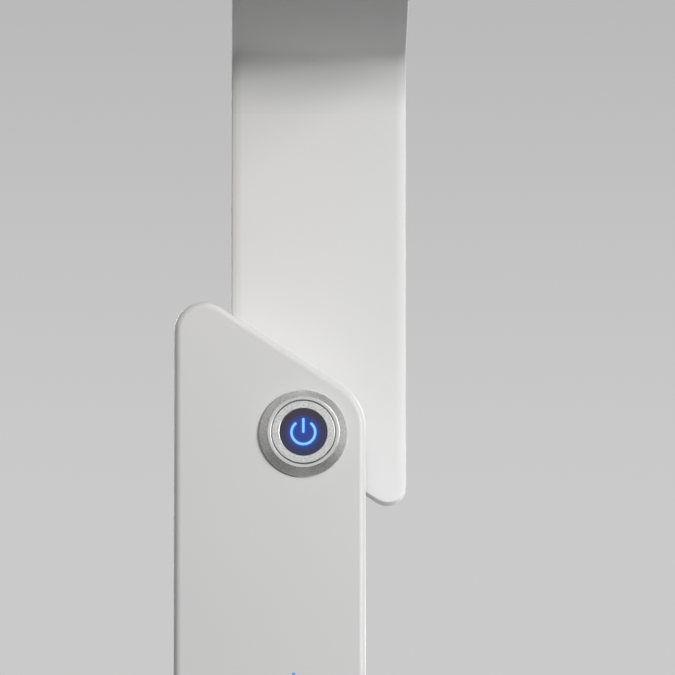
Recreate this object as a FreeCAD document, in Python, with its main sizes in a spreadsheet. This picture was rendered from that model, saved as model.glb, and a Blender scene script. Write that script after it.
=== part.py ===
import FreeCAD, Part
import math
import os
import re

import Sketcher
from FreeCAD import Rotation, Vector

# Slender uplight floor lamp: a weighted base, a flat hollow post with a push button, and a bent
# arm that turns on a friction hinge behind the post's slanted top.
# X runs to the right, Y from the front to the back, Z up. The floor is Z = 0, and the origin
# is the middle of the base. Lengths are in millimetres and angles in degrees.

SIZES = {
    # base
    "base_width": 240,
    "base_length": 300,
    "base_thickness": 10,
    "base_corner_radius": 32,
    "base_edge_radius": 3,
    "mat_thickness": 2,
    "mat_inset": 4,
    # post
    "post_front": 55,
    "post_width": 55,
    "post_depth": 39,
    "post_wall": 1.5,
    "post_edge_radius": 2,
    "post_tip_radius": 8.6,
    "post_shoulder_radius": 14,
    "post_slant_rise": 27.85,
    "slant_angle": 33.2,
    "rear_cover_thickness": 2,
    "panel_gap": 0.2,
    "fit_gap": 0.3,
    "gasket_thickness": 1,
    "gasket_lip": 1.2,
    "gasket_width": 4,
    # fastening of the post
    "foot_plate_thickness": 8,
    "foot_side_thickness": 3,
    "foot_height": 75,
    "foot_bolt_radius": 3,
    "foot_bolt_head_radius": 5,
    "foot_bolt_head_height": 6,
    "foot_bolt_socket_radius": 2.5,
    "foot_bolt_socket_depth": 3.5,
    "foot_bolt_grip_length": 13,
    "foot_bolt_spacing_x": 26,
    "foot_bolt_spacing_y": 16,
    "side_screw_height": 40,
    "side_screw_spacing": 30,
    "screw_radius": 2,
    "screw_head_radius": 3.8,
    "screw_head_height": 1.6,
    "screw_length": 7,
    "screw_socket_radius": 1.3,
    "screw_play": 0.1,
    "cover_bar_height": 14,
    "cover_bar_thickness": 4,
    "cover_bar_start_height": 110,
    "cover_bar_drop": 165,
    "bracket_screw_rise": 10,
    # supply socket
    "jack_height": 42,
    "jack_radius": 5.4,
    "jack_flange_radius": 7.5,
    "jack_flange_thickness": 2,
    "jack_flange_edge_radius": 0.6,
    "jack_length": 12,
    "jack_bore_radius": 2.85,
    "jack_bore_depth": 9.5,
    "jack_pin_radius": 1.05,
    "jack_pin_recess": 1,
    "jack_nut_thickness": 2.5,
    "jack_nut_radius": 8,
    # control board and cables
    "board_width": 38,
    "board_height": 110,
    "board_thickness": 1.6,
    "board_bottom_height": 165,
    "board_standoff": 8,
    "standoff_radius": 2.5,
    "standoff_inset": 5,
    "standoff_rise": 22,
    "board_screw_radius": 1.4,
    "board_screw_length": 2.6,
    "board_screw_head_radius": 2.8,
    "board_screw_head_height": 1.8,
    "connector_width": 17,
    "connector_height": 10,
    "connector_depth": 8,
    "connector_overhang": 2,
    "cable_radius": 0.8,
    "supply_cable_radius": 1.4,
    "cable_pitch": 5,
    "cable_offset": -15,
    "cable_depth": 4.2,
    "cable_play": 0.1,
    "cable_straight_length": 20,
    "cable_crossing_length": 40,
    "cable_join_depth": 2,
    "clip_height": 8,
    "clip_width": 18,
    "clip_thickness": 4.4,
    "clip_start_height": 360,
    "clip_drop": 195,
    # push button
    "button_height": 1675,
    "button_offset": 9.6,
    "bezel_radius": 12.6,
    "bezel_rim_radius": 10.36,
    "bezel_height": 3.1,
    "bezel_lip": 0.4,
    "bezel_edge_radius": 0.25,
    "barrel_radius": 10.9,
    "barrel_length": 14,
    "barrel_play": 0.1,
    "seal_thickness": 0.3,
    "seal_inset": 0.5,
    "switch_nut_width": 24.5,
    "switch_nut_thickness": 3,
    "contact_block_front_depth": 6.2,
    "contact_block_radius": 9.8,
    "contact_block_back_depth": 22.5,
    "contact_block_well_depth": 3,
    "spigot_play": 0.1,
    "actuator_radius": 9.15,
    "button_play": 0.1,
    "actuator_back_depth": 0.5,
    "lens_radius": 6.8,
    "lens_thickness": 1.8,
    "lens_seat_radius": 5.6,
    "button_travel": 2.5,
    "plunger_radius": 3,
    "plunger_length": 9.5,
    "plunger_rest_gap": 1,
    "switch_led_radius": 1.5,
    "switch_led_height": 0.8,
    "spring_radius": 5.2,
    "spring_thickness": 0.8,
    "spring_entry_depth": 0.2,
    "symbol_radius": 3.4,
    "symbol_stroke": 0.78,
    "symbol_gap_angle": 84,
    "symbol_bar_bottom_height": 0.2,
    "symbol_bar_top_height": 3.8,
    "symbol_drop": 0.12,
    "symbol_depth": 0.5,
    "terminal_length": 3,
    "terminal_width": 2.8,
    "terminal_thickness": 0.5,
    "terminal_play": 0.1,
    "switch_plug_width": 12,
    "switch_plug_bottom_height": -8,
    "switch_plug_top_height": 2.5,
    "switch_plug_depth": 3,
    "switch_plug_gap": 0.5,
    # indicator
    "indicator_offset": 6.85,
    "indicator_drop": 71.8,
    "indicator_width": 0.9,
    "indicator_length": 5,
    "indicator_flange": 1,
    "indicator_flange_margin": 1.2,
    "indicator_led_thickness": 0.8,
    "indicator_led_width": 1.6,
    "indicator_led_length": 3.2,
    "indicator_board_width": 9,
    "indicator_board_height": 18,
    "indicator_board_thickness": 1,
    "indicator_socket_width": 5,
    "indicator_socket_height": 4,
    "indicator_socket_depth": 3,
    "indicator_socket_inset": 2,
    "indicator_pad_height": 3,
    # hinge
    "hinge_offset": 8.3,
    "hinge_rise": 12.1,
    "joint_gap": 1.1,
    "hinge_play": 0.1,
    "running_clearance": 0.05,
    "shaft_radius": 4,
    "shaft_neck_radius": 3.4,
    "shaft_bore_radius": 2,
    "shaft_flat_offset": 3.4,
    "bush_radius": 5,
    "bush_flange_radius": 7.8,
    "hinge_bracket_thickness": 4,
    "hinge_bracket_drop": 60,
    "hinge_flange_depth": 14,
    "hinge_flange_thickness": 2.5,
    "hinge_flange_drop": 22,
    "washer_radius": 6.3,
    "friction_washer_thickness": 0.8,
    "stop_washer_thickness": 1.2,
    "stop_tab_length": 12.5,
    "stop_tab_width": 4,
    "stop_angle": 90,
    "stop_pin_radius": 1.2,
    "stop_pin_circle": 10.5,
    "stop_pin_length": 3,
    "stop_play": 0.1,
    "spring_washer_thickness": 0.5,
    "spring_washer_rise": 0.9,
    "hinge_nut_thickness": 3,
    "hinge_nut_slot_width": 1.6,
    "hinge_nut_slot_inset": 0.8,
    "shaft_end_length": 0.6,
    "arm_plate_thickness": 1.5,
    "arm_plate_width": 22,
    "arm_plate_height": 60,
    "stud_radius": 1.5,
    "stud_length": 3.1,
    "stud_nut_width": 5.5,
    "stud_nut_thickness": 1.4,
    "stud_spacing_x": 14,
    "stud_low_height": 32,
    "stud_spacing_z": 20,
    # arm
    "arm_offset": 14.2,
    "arm_width": 50.5,
    "arm_thickness": 6,
    "arm_wall": 1.5,
    "arm_edge_radius": 0.4,
    "arm_tip_radius": 5.4,
    "arm_shoulder_radius": 14,
    "arm_slant_drop": 1.4,
    "bend_rise": 101,
    "bend_radius": 15,
    "head_length": 270,
    "head_corner_radius": 10,
    "arm_cover_thickness": 1.2,
    "arm_cover_length": 45,
    "boss_radius": 2.6,
    "boss_offset": 16,
    "boss_low_height": 1,
    "boss_high_height": 72,
    "boss_head_offset": 24,
    "arm_screw_radius": 1,
    "arm_screw_head_radius": 2,
    "arm_screw_head_height": 0.9,
    "arm_screw_length": 4,
    "arm_screw_socket_radius": 0.65,
    # light source in the head
    "board_start_offset": 30,
    "spreader_thickness": 1,
    "spreader_inset": 0.8,
    "led_board_thickness": 1,
    "led_board_inset": 1.5,
    "diffuser_thickness": 1.4,
    "diffuser_edge_radius": 0.6,
    "led_width": 3,
    "led_height": 0.8,
    "led_row_offset": 12,
    "led_margin": 9,
    "led_end_margin": 15,
    "arm_connector_width": 10,
    "arm_connector_depth": 1.8,
    "arm_connector_height": 1.7,
    "arm_cable_depth": 3.9,
    "arm_cable_bend_radius": 1.2,
}

CABLE_ROWS = {"lamp": 0, "switch": 1, "indicator": 2}
# The board's components: width, height, the middle's place on the board from its lower edge's
# middle, and how far they stand up from it.
BLOCKS = {
    "choke": ("14", "14", "-5", "55", "11"),
    "converter": ("9", "14", "10.5", "51", "1.6"),
    "controller": ("8", "8", "8", "74", "1.4"),
    "power_diode": ("5", "7", "9.5", "29.5", "2.2"),
}
# Radius, place and height of the round ones.
CAPACITORS = {
    "input_capacitor": ("5", "-9", "30", "13"),
    "output_capacitor": ("4", "-6", "76", "12"),
}
# The blades on the back of the switch, from its middle.
TERMINALS = (("-3.5", "-5"), ("3.5", "-5"), ("-3.5", "0"), ("3.5", "0"))
COVER_BARS = 5
CLIPS = 5
LED_ROWS = (-1, 1)
LEDS_PER_ROW = 20
# How far a cutting tool runs past the face it cuts, and how near counts as the same place.
OVER = "1"
NEAR = 0.02

DIRECTIONS = {
    "+x": Rotation(Vector(0, 1, 0), 90),
    "-x": Rotation(Vector(0, 1, 0), -90),
    "+y": Rotation(Vector(1, 0, 0), -90),
    "-y": Rotation(Vector(1, 0, 0), 90),
    "+z": Rotation(),
    "-z": Rotation(Vector(1, 0, 0), 180),
}

# Where each family of pieces has its zero.
FRAMES = {
    "floor": ("0", "0", "0"),
    "post": ("0", "post_front", "0"),
    "switch": ("button_offset", "post_front", "button_height"),
    "indicator": ("indicator_offset", "post_front", "button_height - indicator_drop"),
    "hinge": ("hinge_offset", "post_front", "button_height + hinge_rise"),
    "arm": ("arm_offset", "post_front + post_depth + joint_gap", "button_height"),
}

# Places that several pieces share, in the frame of the family that uses them.
BASE_TOP = "(mat_thickness + base_thickness)"
POST_BOTTOM = f"({BASE_TOP} + gasket_thickness)"
POST_INNER = "(post_width / 2 - post_wall)"
COVER_FACE = "(post_depth - rear_cover_thickness)"
BRACKET_FACE = f"({COVER_FACE} - hinge_bracket_thickness)"
FRICTION_FACE = f"({BRACKET_FACE} - friction_washer_thickness)"
STOP_FACE = f"({FRICTION_FACE} - stop_washer_thickness)"
SPRING_FACE = f"({STOP_FACE} - 2 * spring_washer_rise)"
NUT_FACE = f"({SPRING_FACE} - hinge_nut_thickness)"
HEAD_UNDER = "(bend_rise + bend_radius)"
HEAD_TOP = f"({HEAD_UNDER} + arm_thickness)"
ARM_INNER = "(arm_width / 2 - arm_wall)"
HINGE_IN_ARM = ("(hinge_offset - arm_offset)", "hinge_rise")
BEZEL_BORE = "(actuator_radius + button_play)"
CABLE_JOINT = f"({BRACKET_FACE} + cable_join_depth)"
BOARD_BACK = "(post_wall + board_standoff + board_thickness)"
BOARD_TOP = "(board_bottom_height + board_height)"
BOARD_PLUG_DEPTH = f"({BOARD_BACK} + connector_depth / 2)"
COVER_BAR_PITCH = f"((button_height - cover_bar_drop - cover_bar_start_height) / {COVER_BARS - 1})"
CLIP_PITCH = f"((button_height - clip_drop - clip_start_height) / {CLIPS - 1})"
LED_PITCH = ("((head_length - arm_wall - led_end_margin - arm_cover_length - led_margin)"
             f" / {LEDS_PER_ROW - 1})")

doc = FreeCAD.newDocument("UplightFloorLamp")
sheet = doc.addObject("Spreadsheet::Sheet", "Sizes")
PIECES = []


def fill_sheet():
    for row, (name, number) in enumerate(SIZES.items(), start=1):
        sheet.set(f"A{row}", name)
        sheet.set(f"B{row}", str(number))
        sheet.setAlias(f"B{row}", name)
    doc.recompute()


def bound(expression):
    """The expression with each size's name written as a reference to its cell."""
    def refer(word):
        return "Sizes." + word[0] if word[0] in SIZES else word[0]
    return re.sub(r"[a-z_][a-z0-9_]*", refer, str(expression))


def value(expression):
    return float(sheet.evalExpression(bound(expression)))


def place(thing, x="0", y="0", z="0", direction="+z", frame="floor"):
    """Puts a piece at a point of its family's frame, its own Z turned to the direction."""
    thing.Placement.Rotation = DIRECTIONS[direction]
    for axis, start, step in zip("xyz", FRAMES[frame], (x, y, z)):
        thing.setExpression(f"Placement.Base.{axis}", bound(f"({start}) + ({step})"))
    return thing


def piece(label, thing, frame=None):
    """Names a finished piece, which gets a file of its own."""
    thing.Label = label
    if frame:
        place(thing, frame=frame)
    PIECES.append(thing)
    return thing


# Sketched pieces

def new_body(label, frame):
    return piece(label, doc.addObject("PartDesign::Body", "Body_" + label), frame)


def rectangle(low_x, high_x, low_y, high_y):
    return [(low_x, low_y), (high_x, low_y), (high_x, high_y), (low_x, high_y)]


def draw_polygon(sketch, corners):
    """A closed polygon, each corner held at its distances from the sketch's zero."""
    points = [Vector(value(x), value(y), 0) for x, y in corners]
    first = sketch.GeometryCount
    count = len(points)
    for index in range(count):
        sketch.addGeometry(Part.LineSegment(points[index], points[(index + 1) % count]), False)
    for index in range(count):
        follower = first + (index + 1) % count
        sketch.addConstraint(Sketcher.Constraint("Coincident", first + index, 2, follower, 1))
    for index, corner in enumerate(corners):
        hold_point(sketch, first + index, 1, corner)


def hold_point(sketch, geometry, end, spot):
    for kind, expression, axis in (("DistanceX", spot[0], -2), ("DistanceY", spot[1], -1)):
        if expression == "0":
            sketch.addConstraint(Sketcher.Constraint("PointOnObject", geometry, end, axis))
        else:
            number = value(expression)
            constraint = Sketcher.Constraint(kind, -1, 1, geometry, end, number)
            index = sketch.addConstraint(constraint)
            sketch.setExpression(f"Constraints[{index}]", bound(expression))


def draw_circle(sketch, x, y, radius):
    centre = Vector(value(x), value(y), 0)
    index = sketch.addGeometry(Part.Circle(centre, Vector(0, 0, 1), value(radius)), False)
    hold_point(sketch, index, 3, (x, y))
    size = sketch.addConstraint(Sketcher.Constraint("Radius", index, value(radius)))
    sketch.setExpression(f"Constraints[{size}]", bound(radius))


def new_sketch(body, name, plane, loops, low="0"):
    """A sketch on one of the body's planes, moved along the plane's axis to the place low."""
    sketch = body.newObject("Sketcher::SketchObject", f"{body.Label}_{name}_outline")
    support = [part for part in body.Origin.OriginFeatures if part.Role == plane + "_Plane"]
    sketch.AttachmentSupport = [(support[0], "")]
    sketch.MapMode = "FlatFace"
    sign = "-" if plane == "XZ" else ""
    sketch.setExpression("AttachmentOffset.Base.z", bound(f"{sign}({low})"))
    for loop in loops:
        if isinstance(loop, tuple):
            draw_circle(sketch, *loop)
        else:
            draw_polygon(sketch, loop)
    return sketch


def extrude(kind, body, name, plane, loops, low, high):
    """Adds (Pad) or takes away (Pocket) the outline between two places on the plane's axis."""
    before = body.Shape.Volume if kind == "Pocket" else 0
    sketch = new_sketch(body, name, plane, loops, low)
    feature = body.newObject(f"PartDesign::{kind}", f"{body.Label}_{name}")
    feature.Profile = sketch
    feature.setExpression("Length", bound(f"({high}) - ({low})"))
    feature.Reversed = (plane == "XZ") == (kind == "Pad")
    doc.recompute()
    if kind == "Pocket" and body.Shape.Volume > before - 1e-6:
        raise ValueError(f"{name} takes nothing away from {body.Label}")
    return feature


def pad(*arguments):
    return extrude("Pad", *arguments)


def pocket(*arguments):
    return extrude("Pocket", *arguments)


def turn(body, name, corners):
    """Turns a profile of (radius, place along Y) about the body's Y axis."""
    sketch = new_sketch(body, name, "XY", [corners])
    feature = body.newObject("PartDesign::Revolution", f"{body.Label}_{name}")
    feature.Profile = sketch
    feature.ReferenceAxis = (sketch, ["V_Axis"])
    feature.Angle = 360
    doc.recompute()
    return feature


def middle(edge):
    return edge.valueAt((edge.FirstParameter + edge.LastParameter) / 2)


def at(edge, **places):
    """True where the edge's middle lies at each of the given places (x=, y= or z=)."""
    point = middle(edge)
    return all(abs(getattr(point, axis) - value(place)) < NEAR for axis, place in places.items())


def runs_along(edge, axis):
    ends = edge.Vertexes
    if len(ends) < 2:
        return False
    step = ends[1].Point - ends[0].Point
    return all(abs(getattr(step, other)) < 1e-6 for other in "xyz" if other != axis)


def round_edges(body, name, radius, wanted):
    base = body.Tip
    names = [f"Edge{index}" for index, edge in enumerate(base.Shape.Edges, 1) if wanted(edge)]
    if not names:
        raise ValueError(f"{name} finds no edge on {body.Label}")
    feature = body.newObject("PartDesign::Fillet", f"{body.Label}_{name}")
    feature.Base = (base, names)
    feature.setExpression("Radius", bound(radius))
    doc.recompute()
    return feature


def hollow(body, name, wall, open_face):
    """Leaves a wall inside the body's surface, with the open faces taken out."""
    base = body.Tip
    names = [f"Face{index}" for index, face in enumerate(base.Shape.Faces, 1) if open_face(face)]
    feature = body.newObject("PartDesign::Thickness", f"{body.Label}_{name}")
    feature.Base = (base, names)
    feature.Reversed = True
    feature.setExpression("Value", bound(wall))
    doc.recompute()
    return feature


def drill(body, name, x, y, z, direction, radius, depth):
    feature = body.newObject("PartDesign::SubtractiveCylinder", f"{body.Label}_{name}")
    feature.setExpression("Radius", bound(radius))
    feature.setExpression("Height", bound(depth))
    place(feature, x, y, z, direction)
    doc.recompute()
    return feature


def countersink(body, name, x, y, z, direction, screw, depth):
    """A hole for a countersunk screw that enters the body at the point given."""
    drill(body, name, x, y, z, direction, f"{screw}_radius + screw_play", depth)
    feature = body.newObject("PartDesign::SubtractiveCone", f"{body.Label}_{name}_sink")
    feature.setExpression("Radius1", bound(f"{screw}_head_radius + screw_play"))
    feature.setExpression("Radius2", bound(f"{screw}_radius + screw_play"))
    feature.setExpression("Height", bound(f"{screw}_head_height + screw_play"))
    place(feature, x, y, z, direction)
    doc.recompute()
    return feature


# Plain pieces and groups of them

def box(name, low_x, high_x, low_y, high_y, low_z, high_z):
    block = doc.addObject("Part::Box", name)
    block.setExpression("Length", bound(f"({high_x}) - ({low_x})"))
    block.setExpression("Width", bound(f"({high_y}) - ({low_y})"))
    block.setExpression("Height", bound(f"({high_z}) - ({low_z})"))
    return place(block, low_x, low_y, low_z)


def cylinder(name, x, y, z, direction, radius, length):
    rod = doc.addObject("Part::Cylinder", name)
    rod.setExpression("Radius", bound(radius))
    rod.setExpression("Height", bound(length))
    return place(rod, x, y, z, direction)


def prism(name, x, y, z, direction, across, length):
    """A hexagon of the given width across its flats."""
    nut = doc.addObject("Part::Prism", name)
    nut.Polygon = 6
    nut.setExpression("Circumradius", bound(f"({across}) / 2 / cos(30)"))
    nut.setExpression("Height", bound(length))
    return place(nut, x, y, z, direction)


def cut(name, base, tool):
    result = doc.addObject("Part::Cut", name)
    result.Base = base
    result.Tool = tool
    return result


def fuse(name, *parts):
    result = doc.addObject("Part::MultiFuse", name)
    result.Shapes = list(parts)
    return result


def group(name, parts):
    result = doc.addObject("Part::Compound", name)
    result.Links = list(parts)
    return result


def countersunk_screw(name, screw, x, y, z, direction):
    """A countersunk screw with a hexagon socket, its head's face at the point given."""
    cone = doc.addObject("Part::Cone", name + "_head")
    cone.setExpression("Radius1", bound(f"{screw}_head_radius"))
    cone.setExpression("Radius2", bound(f"{screw}_radius"))
    cone.setExpression("Height", bound(f"{screw}_head_height"))
    shank = cylinder(name + "_shank", "0", "0", "0", "+z", f"{screw}_radius", f"{screw}_length")
    socket = prism(name + "_socket", "0", "0", "0", "+z", f"2 * {screw}_socket_radius",
                   f"{screw}_head_height")
    return place(cut(name, fuse(name + "_blank", cone, shank), socket), x, y, z, direction)


def bend_route(corners):
    """Straight runs joined by tangent arcs, each as large as its two runs allow."""
    edges = []
    start = corners[0]
    for before, corner, after in zip(corners, corners[1:], corners[2:]):
        back = before - corner
        ahead = after - corner
        half_turn = (math.pi - back.getAngle(ahead)) / 2
        step = 0.45 * min(back.Length, ahead.Length)
        radius = step / math.tan(half_turn)
        back.normalize()
        ahead.normalize()
        bisector = (back + ahead).normalize()
        enter = corner + back * step
        leave = corner + ahead * step
        centre = corner + bisector * (radius / math.cos(half_turn))
        edges.append(Part.LineSegment(start, enter).toShape())
        edges.append(Part.Arc(enter, centre - bisector * radius, leave).toShape())
        start = leave
    edges.append(Part.LineSegment(start, corners[-1]).toShape())
    return Part.Wire(edges)


def cable(label, frame, radius, corners):
    """A round cable along a route of corner points in its family's frame."""
    points = [Vector(*(value(number) for number in corner)) for corner in corners]
    route = bend_route(points)
    end = Part.Circle(points[0], points[1] - points[0], value(radius)).toShape()
    feature = doc.addObject("Part::Feature", "Cable_" + label)
    feature.Shape = route.makePipe(Part.Face(Part.Wire(end)))
    return piece(label, feature, frame)


# Base

def make_base():
    mat = new_body("base_mat", "floor")
    sides = rectangle("-(base_width / 2 - mat_inset)", "base_width / 2 - mat_inset",
                      "-(base_length / 2 - mat_inset)", "base_length / 2 - mat_inset")
    pad(mat, "sheet", "XY", [sides], "0", "mat_thickness")
    round_edges(mat, "corners", "base_corner_radius - mat_inset", lambda edge: runs_along(edge, "z"))

    plate = new_body("base_plate", "floor")
    sides = rectangle("-base_width / 2", "base_width / 2", "-base_length / 2", "base_length / 2")
    pad(plate, "slab", "XY", [sides], "mat_thickness", BASE_TOP)
    round_edges(plate, "corners", "base_corner_radius", lambda edge: runs_along(edge, "z"))
    round_edges(plate, "top_edge", "base_edge_radius", lambda edge: at(edge, z=BASE_TOP))
    shanks = [(x, y, "foot_bolt_radius + screw_play") for x, y in bolt_spots()]
    heads = [(x, y, "foot_bolt_head_radius + screw_play") for x, y in bolt_spots()]
    pocket(plate, "bolt_holes", "XY", shanks, "mat_thickness", BASE_TOP)
    pocket(plate, "bolt_heads", "XY", heads, "mat_thickness", "mat_thickness + foot_bolt_head_height")


def bolt_spots():
    """The four foot bolts, round the middle of the post's footprint."""
    middle_y = "post_front + post_depth / 2"
    return [(f"{side_x}foot_bolt_spacing_x / 2", f"{middle_y} {side_y} foot_bolt_spacing_y / 2")
            for side_x in ("-", "") for side_y in ("-", "+")]


def make_foot_bolts():
    bolts = []
    for index, (x, y) in enumerate(bolt_spots(), 1):
        name = f"foot_bolt_{index}"
        head = cylinder(name + "_head", x, y, "mat_thickness", "+z",
                        "foot_bolt_head_radius", "foot_bolt_head_height")
        shank = cylinder(name + "_shank", x, y, "mat_thickness", "+z",
                         "foot_bolt_radius", "foot_bolt_grip_length + foot_bolt_head_height - screw_play")
        socket = prism(name + "_socket", x, y, "mat_thickness", "+z", "2 * foot_bolt_socket_radius",
                       "foot_bolt_socket_depth")
        bolts.append(cut(name, fuse(name + "_blank", head, shank), socket))
    piece("foot_bolts", group("Foot_bolts", bolts))


def make_foot_gasket():
    gasket = new_body("foot_gasket", "post")
    reach = "post_width / 2 + gasket_lip"
    outer = rectangle(f"-({reach})", reach, "-gasket_lip", "post_depth + gasket_lip")
    pad(gasket, "sheet", "XY", [outer], BASE_TOP, POST_BOTTOM)
    round_edges(gasket, "corners", "post_edge_radius + gasket_lip", lambda edge: runs_along(edge, "z"))
    inside = "post_width / 2 - gasket_width"
    opening = rectangle(f"-({inside})", inside, "gasket_width", "post_depth - gasket_width")
    pocket(gasket, "opening", "XY", [opening], BASE_TOP, POST_BOTTOM)


def make_foot_bracket():
    """A steel block with two upright ears, inside the foot of the post."""
    bracket = new_body("foot_bracket", "post")
    half = "(post_width / 2 - gasket_width - fit_gap)"
    ear = f"({POST_INNER} - fit_gap)"
    front = "gasket_width + fit_gap"
    back = "post_depth - gasket_width - fit_gap"
    top = f"{BASE_TOP} + foot_height"
    step = f"{POST_BOTTOM} + fit_gap"
    pad(bracket, "foot", "XY", [rectangle(f"-{half}", half, front, back)],
        BASE_TOP, f"{BASE_TOP} + foot_plate_thickness")
    for side, name in (("-", "left"), ("", "right")):
        near = f"{side}({ear} - foot_side_thickness)"
        far = f"{side}{ear}"
        low, high = (far, near) if side else (near, far)
        pad(bracket, name + "_ear", "XY", [rectangle(low, high, front, back)], step, top)
    tapped = [(x, f"({y}) - post_front", "foot_bolt_radius") for x, y in bolt_spots()]
    pocket(bracket, "tapped_holes", "XY", tapped, BASE_TOP, f"{BASE_TOP} + foot_plate_thickness")
    for index, (side, z) in enumerate(side_screw_spots(), 1):
        direction = "+x" if side == "-" else "-x"
        drill(bracket, f"side_hole_{index}", f"{side}({ear} + {OVER})", "post_depth / 2", z, direction,
              "screw_radius", f"foot_side_thickness + 2 * {OVER}")


def side_screw_spots():
    return [(side, f"side_screw_height + {step} * side_screw_spacing")
            for side in ("-", "") for step in (0, 1)]


def make_foot_screws():
    screws = []
    for index, (side, z) in enumerate(side_screw_spots(), 1):
        direction = "+x" if side == "-" else "-x"
        screws.append(countersunk_screw(f"foot_screw_{index}", "screw", f"{side}post_width / 2",
                                        "post_depth / 2", z, direction))
    piece("foot_screws", group("Foot_screws", screws), "post")


# Post

def slant_height(x, inset):
    """Height of the post's slanted top over the button, moved in by the inset."""
    return f"(post_slant_rise - ({inset}) / cos(slant_angle) - ({x}) * tan(slant_angle))"


def post_outline(inset, bottom):
    half = f"(post_width / 2 - ({inset}))"
    left_top = f"button_height + {slant_height('-' + half, inset)}"
    right_top = f"button_height + {slant_height(half, inset)}"
    return [(f"-{half}", bottom), (half, bottom), (half, right_top), (f"-{half}", left_top)]


def round_post_top(body, inset):
    """Rounds the acute and the obtuse corner of a piece cut to the post's outline."""
    half = f"(post_width / 2 - ({inset}))"
    for name, side, radius in (("tip", "-", "post_tip_radius"), ("shoulder", "", "post_shoulder_radius")):
        top = f"button_height + {slant_height(side + half, inset)}"
        round_edges(body, name, f"{radius} - ({inset})",
                    lambda edge: at(edge, x=side + half, z=top) and runs_along(edge, "y"))


def cover_bar_spots():
    return [f"cover_bar_start_height + {step} * {COVER_BAR_PITCH}" for step in range(COVER_BARS)]


def make_post_shell():
    shell = new_body("post_shell", "post")
    pad(shell, "block", "XZ", [post_outline("0", POST_BOTTOM)], "0", "post_depth")
    round_post_top(shell, "0")
    round_edges(shell, "front_edges", "post_edge_radius",
                lambda edge: at(edge, y="0") and not at(edge, z=POST_BOTTOM))
    open_places = (("y", value("post_depth")), ("z", value(POST_BOTTOM)))
    hollow(shell, "walls", "post_wall",
           lambda face: any(abs(getattr(face.CenterOfMass, axis) - place) < NEAR
                            for axis, place in open_places))
    pocket(shell, "button_hole", "XZ", [("button_offset", "button_height", "barrel_radius + barrel_play")],
           "0", "post_wall")
    window = indicator_sides("indicator_offset", "button_height - indicator_drop", "0")
    pocket(shell, "indicator_slot", "XZ", [window], "0", "post_wall")
    for index, (side, z) in enumerate(side_screw_spots(), 1):
        direction = "+x" if side == "-" else "-x"
        countersink(shell, f"side_hole_{index}", f"{side}post_width / 2", "post_depth / 2", z,
                    direction, "screw", f"post_wall + {OVER}")


def make_rear_cover():
    cover = new_body("post_rear_cover", "post")
    inset = "post_wall + panel_gap"
    pad(cover, "sheet", "XZ", [post_outline(inset, POST_BOTTOM)], COVER_FACE, "post_depth")
    round_post_top(cover, inset)
    holes = [("hinge_offset", "button_height + hinge_rise", "bush_radius"),
             ("0", "jack_height", "jack_radius + screw_play")]
    pocket(cover, "holes", "XZ", holes, COVER_FACE, "post_depth")
    for index, z in enumerate(cover_screw_heights(), 1):
        countersink(cover, f"screw_hole_{index}", "0", "post_depth", z, "-y", "screw",
                    f"rear_cover_thickness + {OVER}")


def cover_screw_heights():
    """One screw in each cross bar and one in the hinge bracket."""
    return cover_bar_spots() + ["button_height - hinge_bracket_drop + bracket_screw_rise"]


def make_cover_bars():
    """Cross bars between the post's side walls, which the rear cover is screwed to."""
    bars = []
    half = f"({POST_INNER} - panel_gap)"
    for index, z in enumerate(cover_bar_spots(), 1):
        name = f"cover_bar_{index}"
        bar = box(name + "_blank", f"-{half}", half, f"{COVER_FACE} - cover_bar_thickness", COVER_FACE,
                  f"{z} - cover_bar_height / 2", f"{z} + cover_bar_height / 2")
        hole = cylinder(name + "_hole", "0", "post_depth", z, "-y", "screw_radius",
                        "rear_cover_thickness + cover_bar_thickness")
        bars.append(cut(name, bar, hole))
    piece("cover_bars", group("Cover_bars", bars), "post")


def make_cover_screws():
    screws = [countersunk_screw(f"cover_screw_{index}", "screw", "0", "post_depth", z, "-y")
              for index, z in enumerate(cover_screw_heights(), 1)]
    piece("cover_screws", group("Cover_screws", screws), "post")


# Supply socket, control board and cables in the post

def make_jack():
    jack = new_body("supply_socket", "post")
    place(jack, z="jack_height", frame="post")
    outer = "post_depth + jack_flange_thickness"
    mouth = f"{outer} - jack_bore_depth"
    turn(jack, "barrel", [("jack_bore_radius", outer), ("jack_flange_radius", outer),
                          ("jack_flange_radius", "post_depth"), ("jack_radius", "post_depth"),
                          ("jack_radius", "post_depth - jack_length"), ("0", "post_depth - jack_length"),
                          ("0", mouth), ("jack_bore_radius", mouth)])
    round_edges(jack, "flange_edge", "jack_flange_edge_radius", lambda edge: at(edge, y=outer) and
                edge.Length > 2 * math.pi * value("jack_radius"))
    pin = cylinder("Supply_pin", "0", "0", "0", "-y", "jack_pin_radius", "jack_bore_depth - jack_pin_recess")
    piece("supply_pin", pin)
    place(pin, "0", f"{outer} - jack_pin_recess", "jack_height", "-y", "post")
    nut = prism("Supply_nut_blank", "0", COVER_FACE, "jack_height", "-y", "2 * jack_nut_radius",
                "jack_nut_thickness")
    hole = cylinder("Supply_nut_hole", "0", COVER_FACE, "jack_height", "-y", "jack_radius",
                    "jack_nut_thickness")
    piece("supply_nut", cut("Supply_nut", nut, hole), "post")


def board_corner_spots():
    return [(f"{side}(board_width / 2 - standoff_inset)", z)
            for side in ("-", "") for z in ("board_bottom_height + standoff_rise",
                                            "board_bottom_height + board_height - standoff_rise")]


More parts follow.
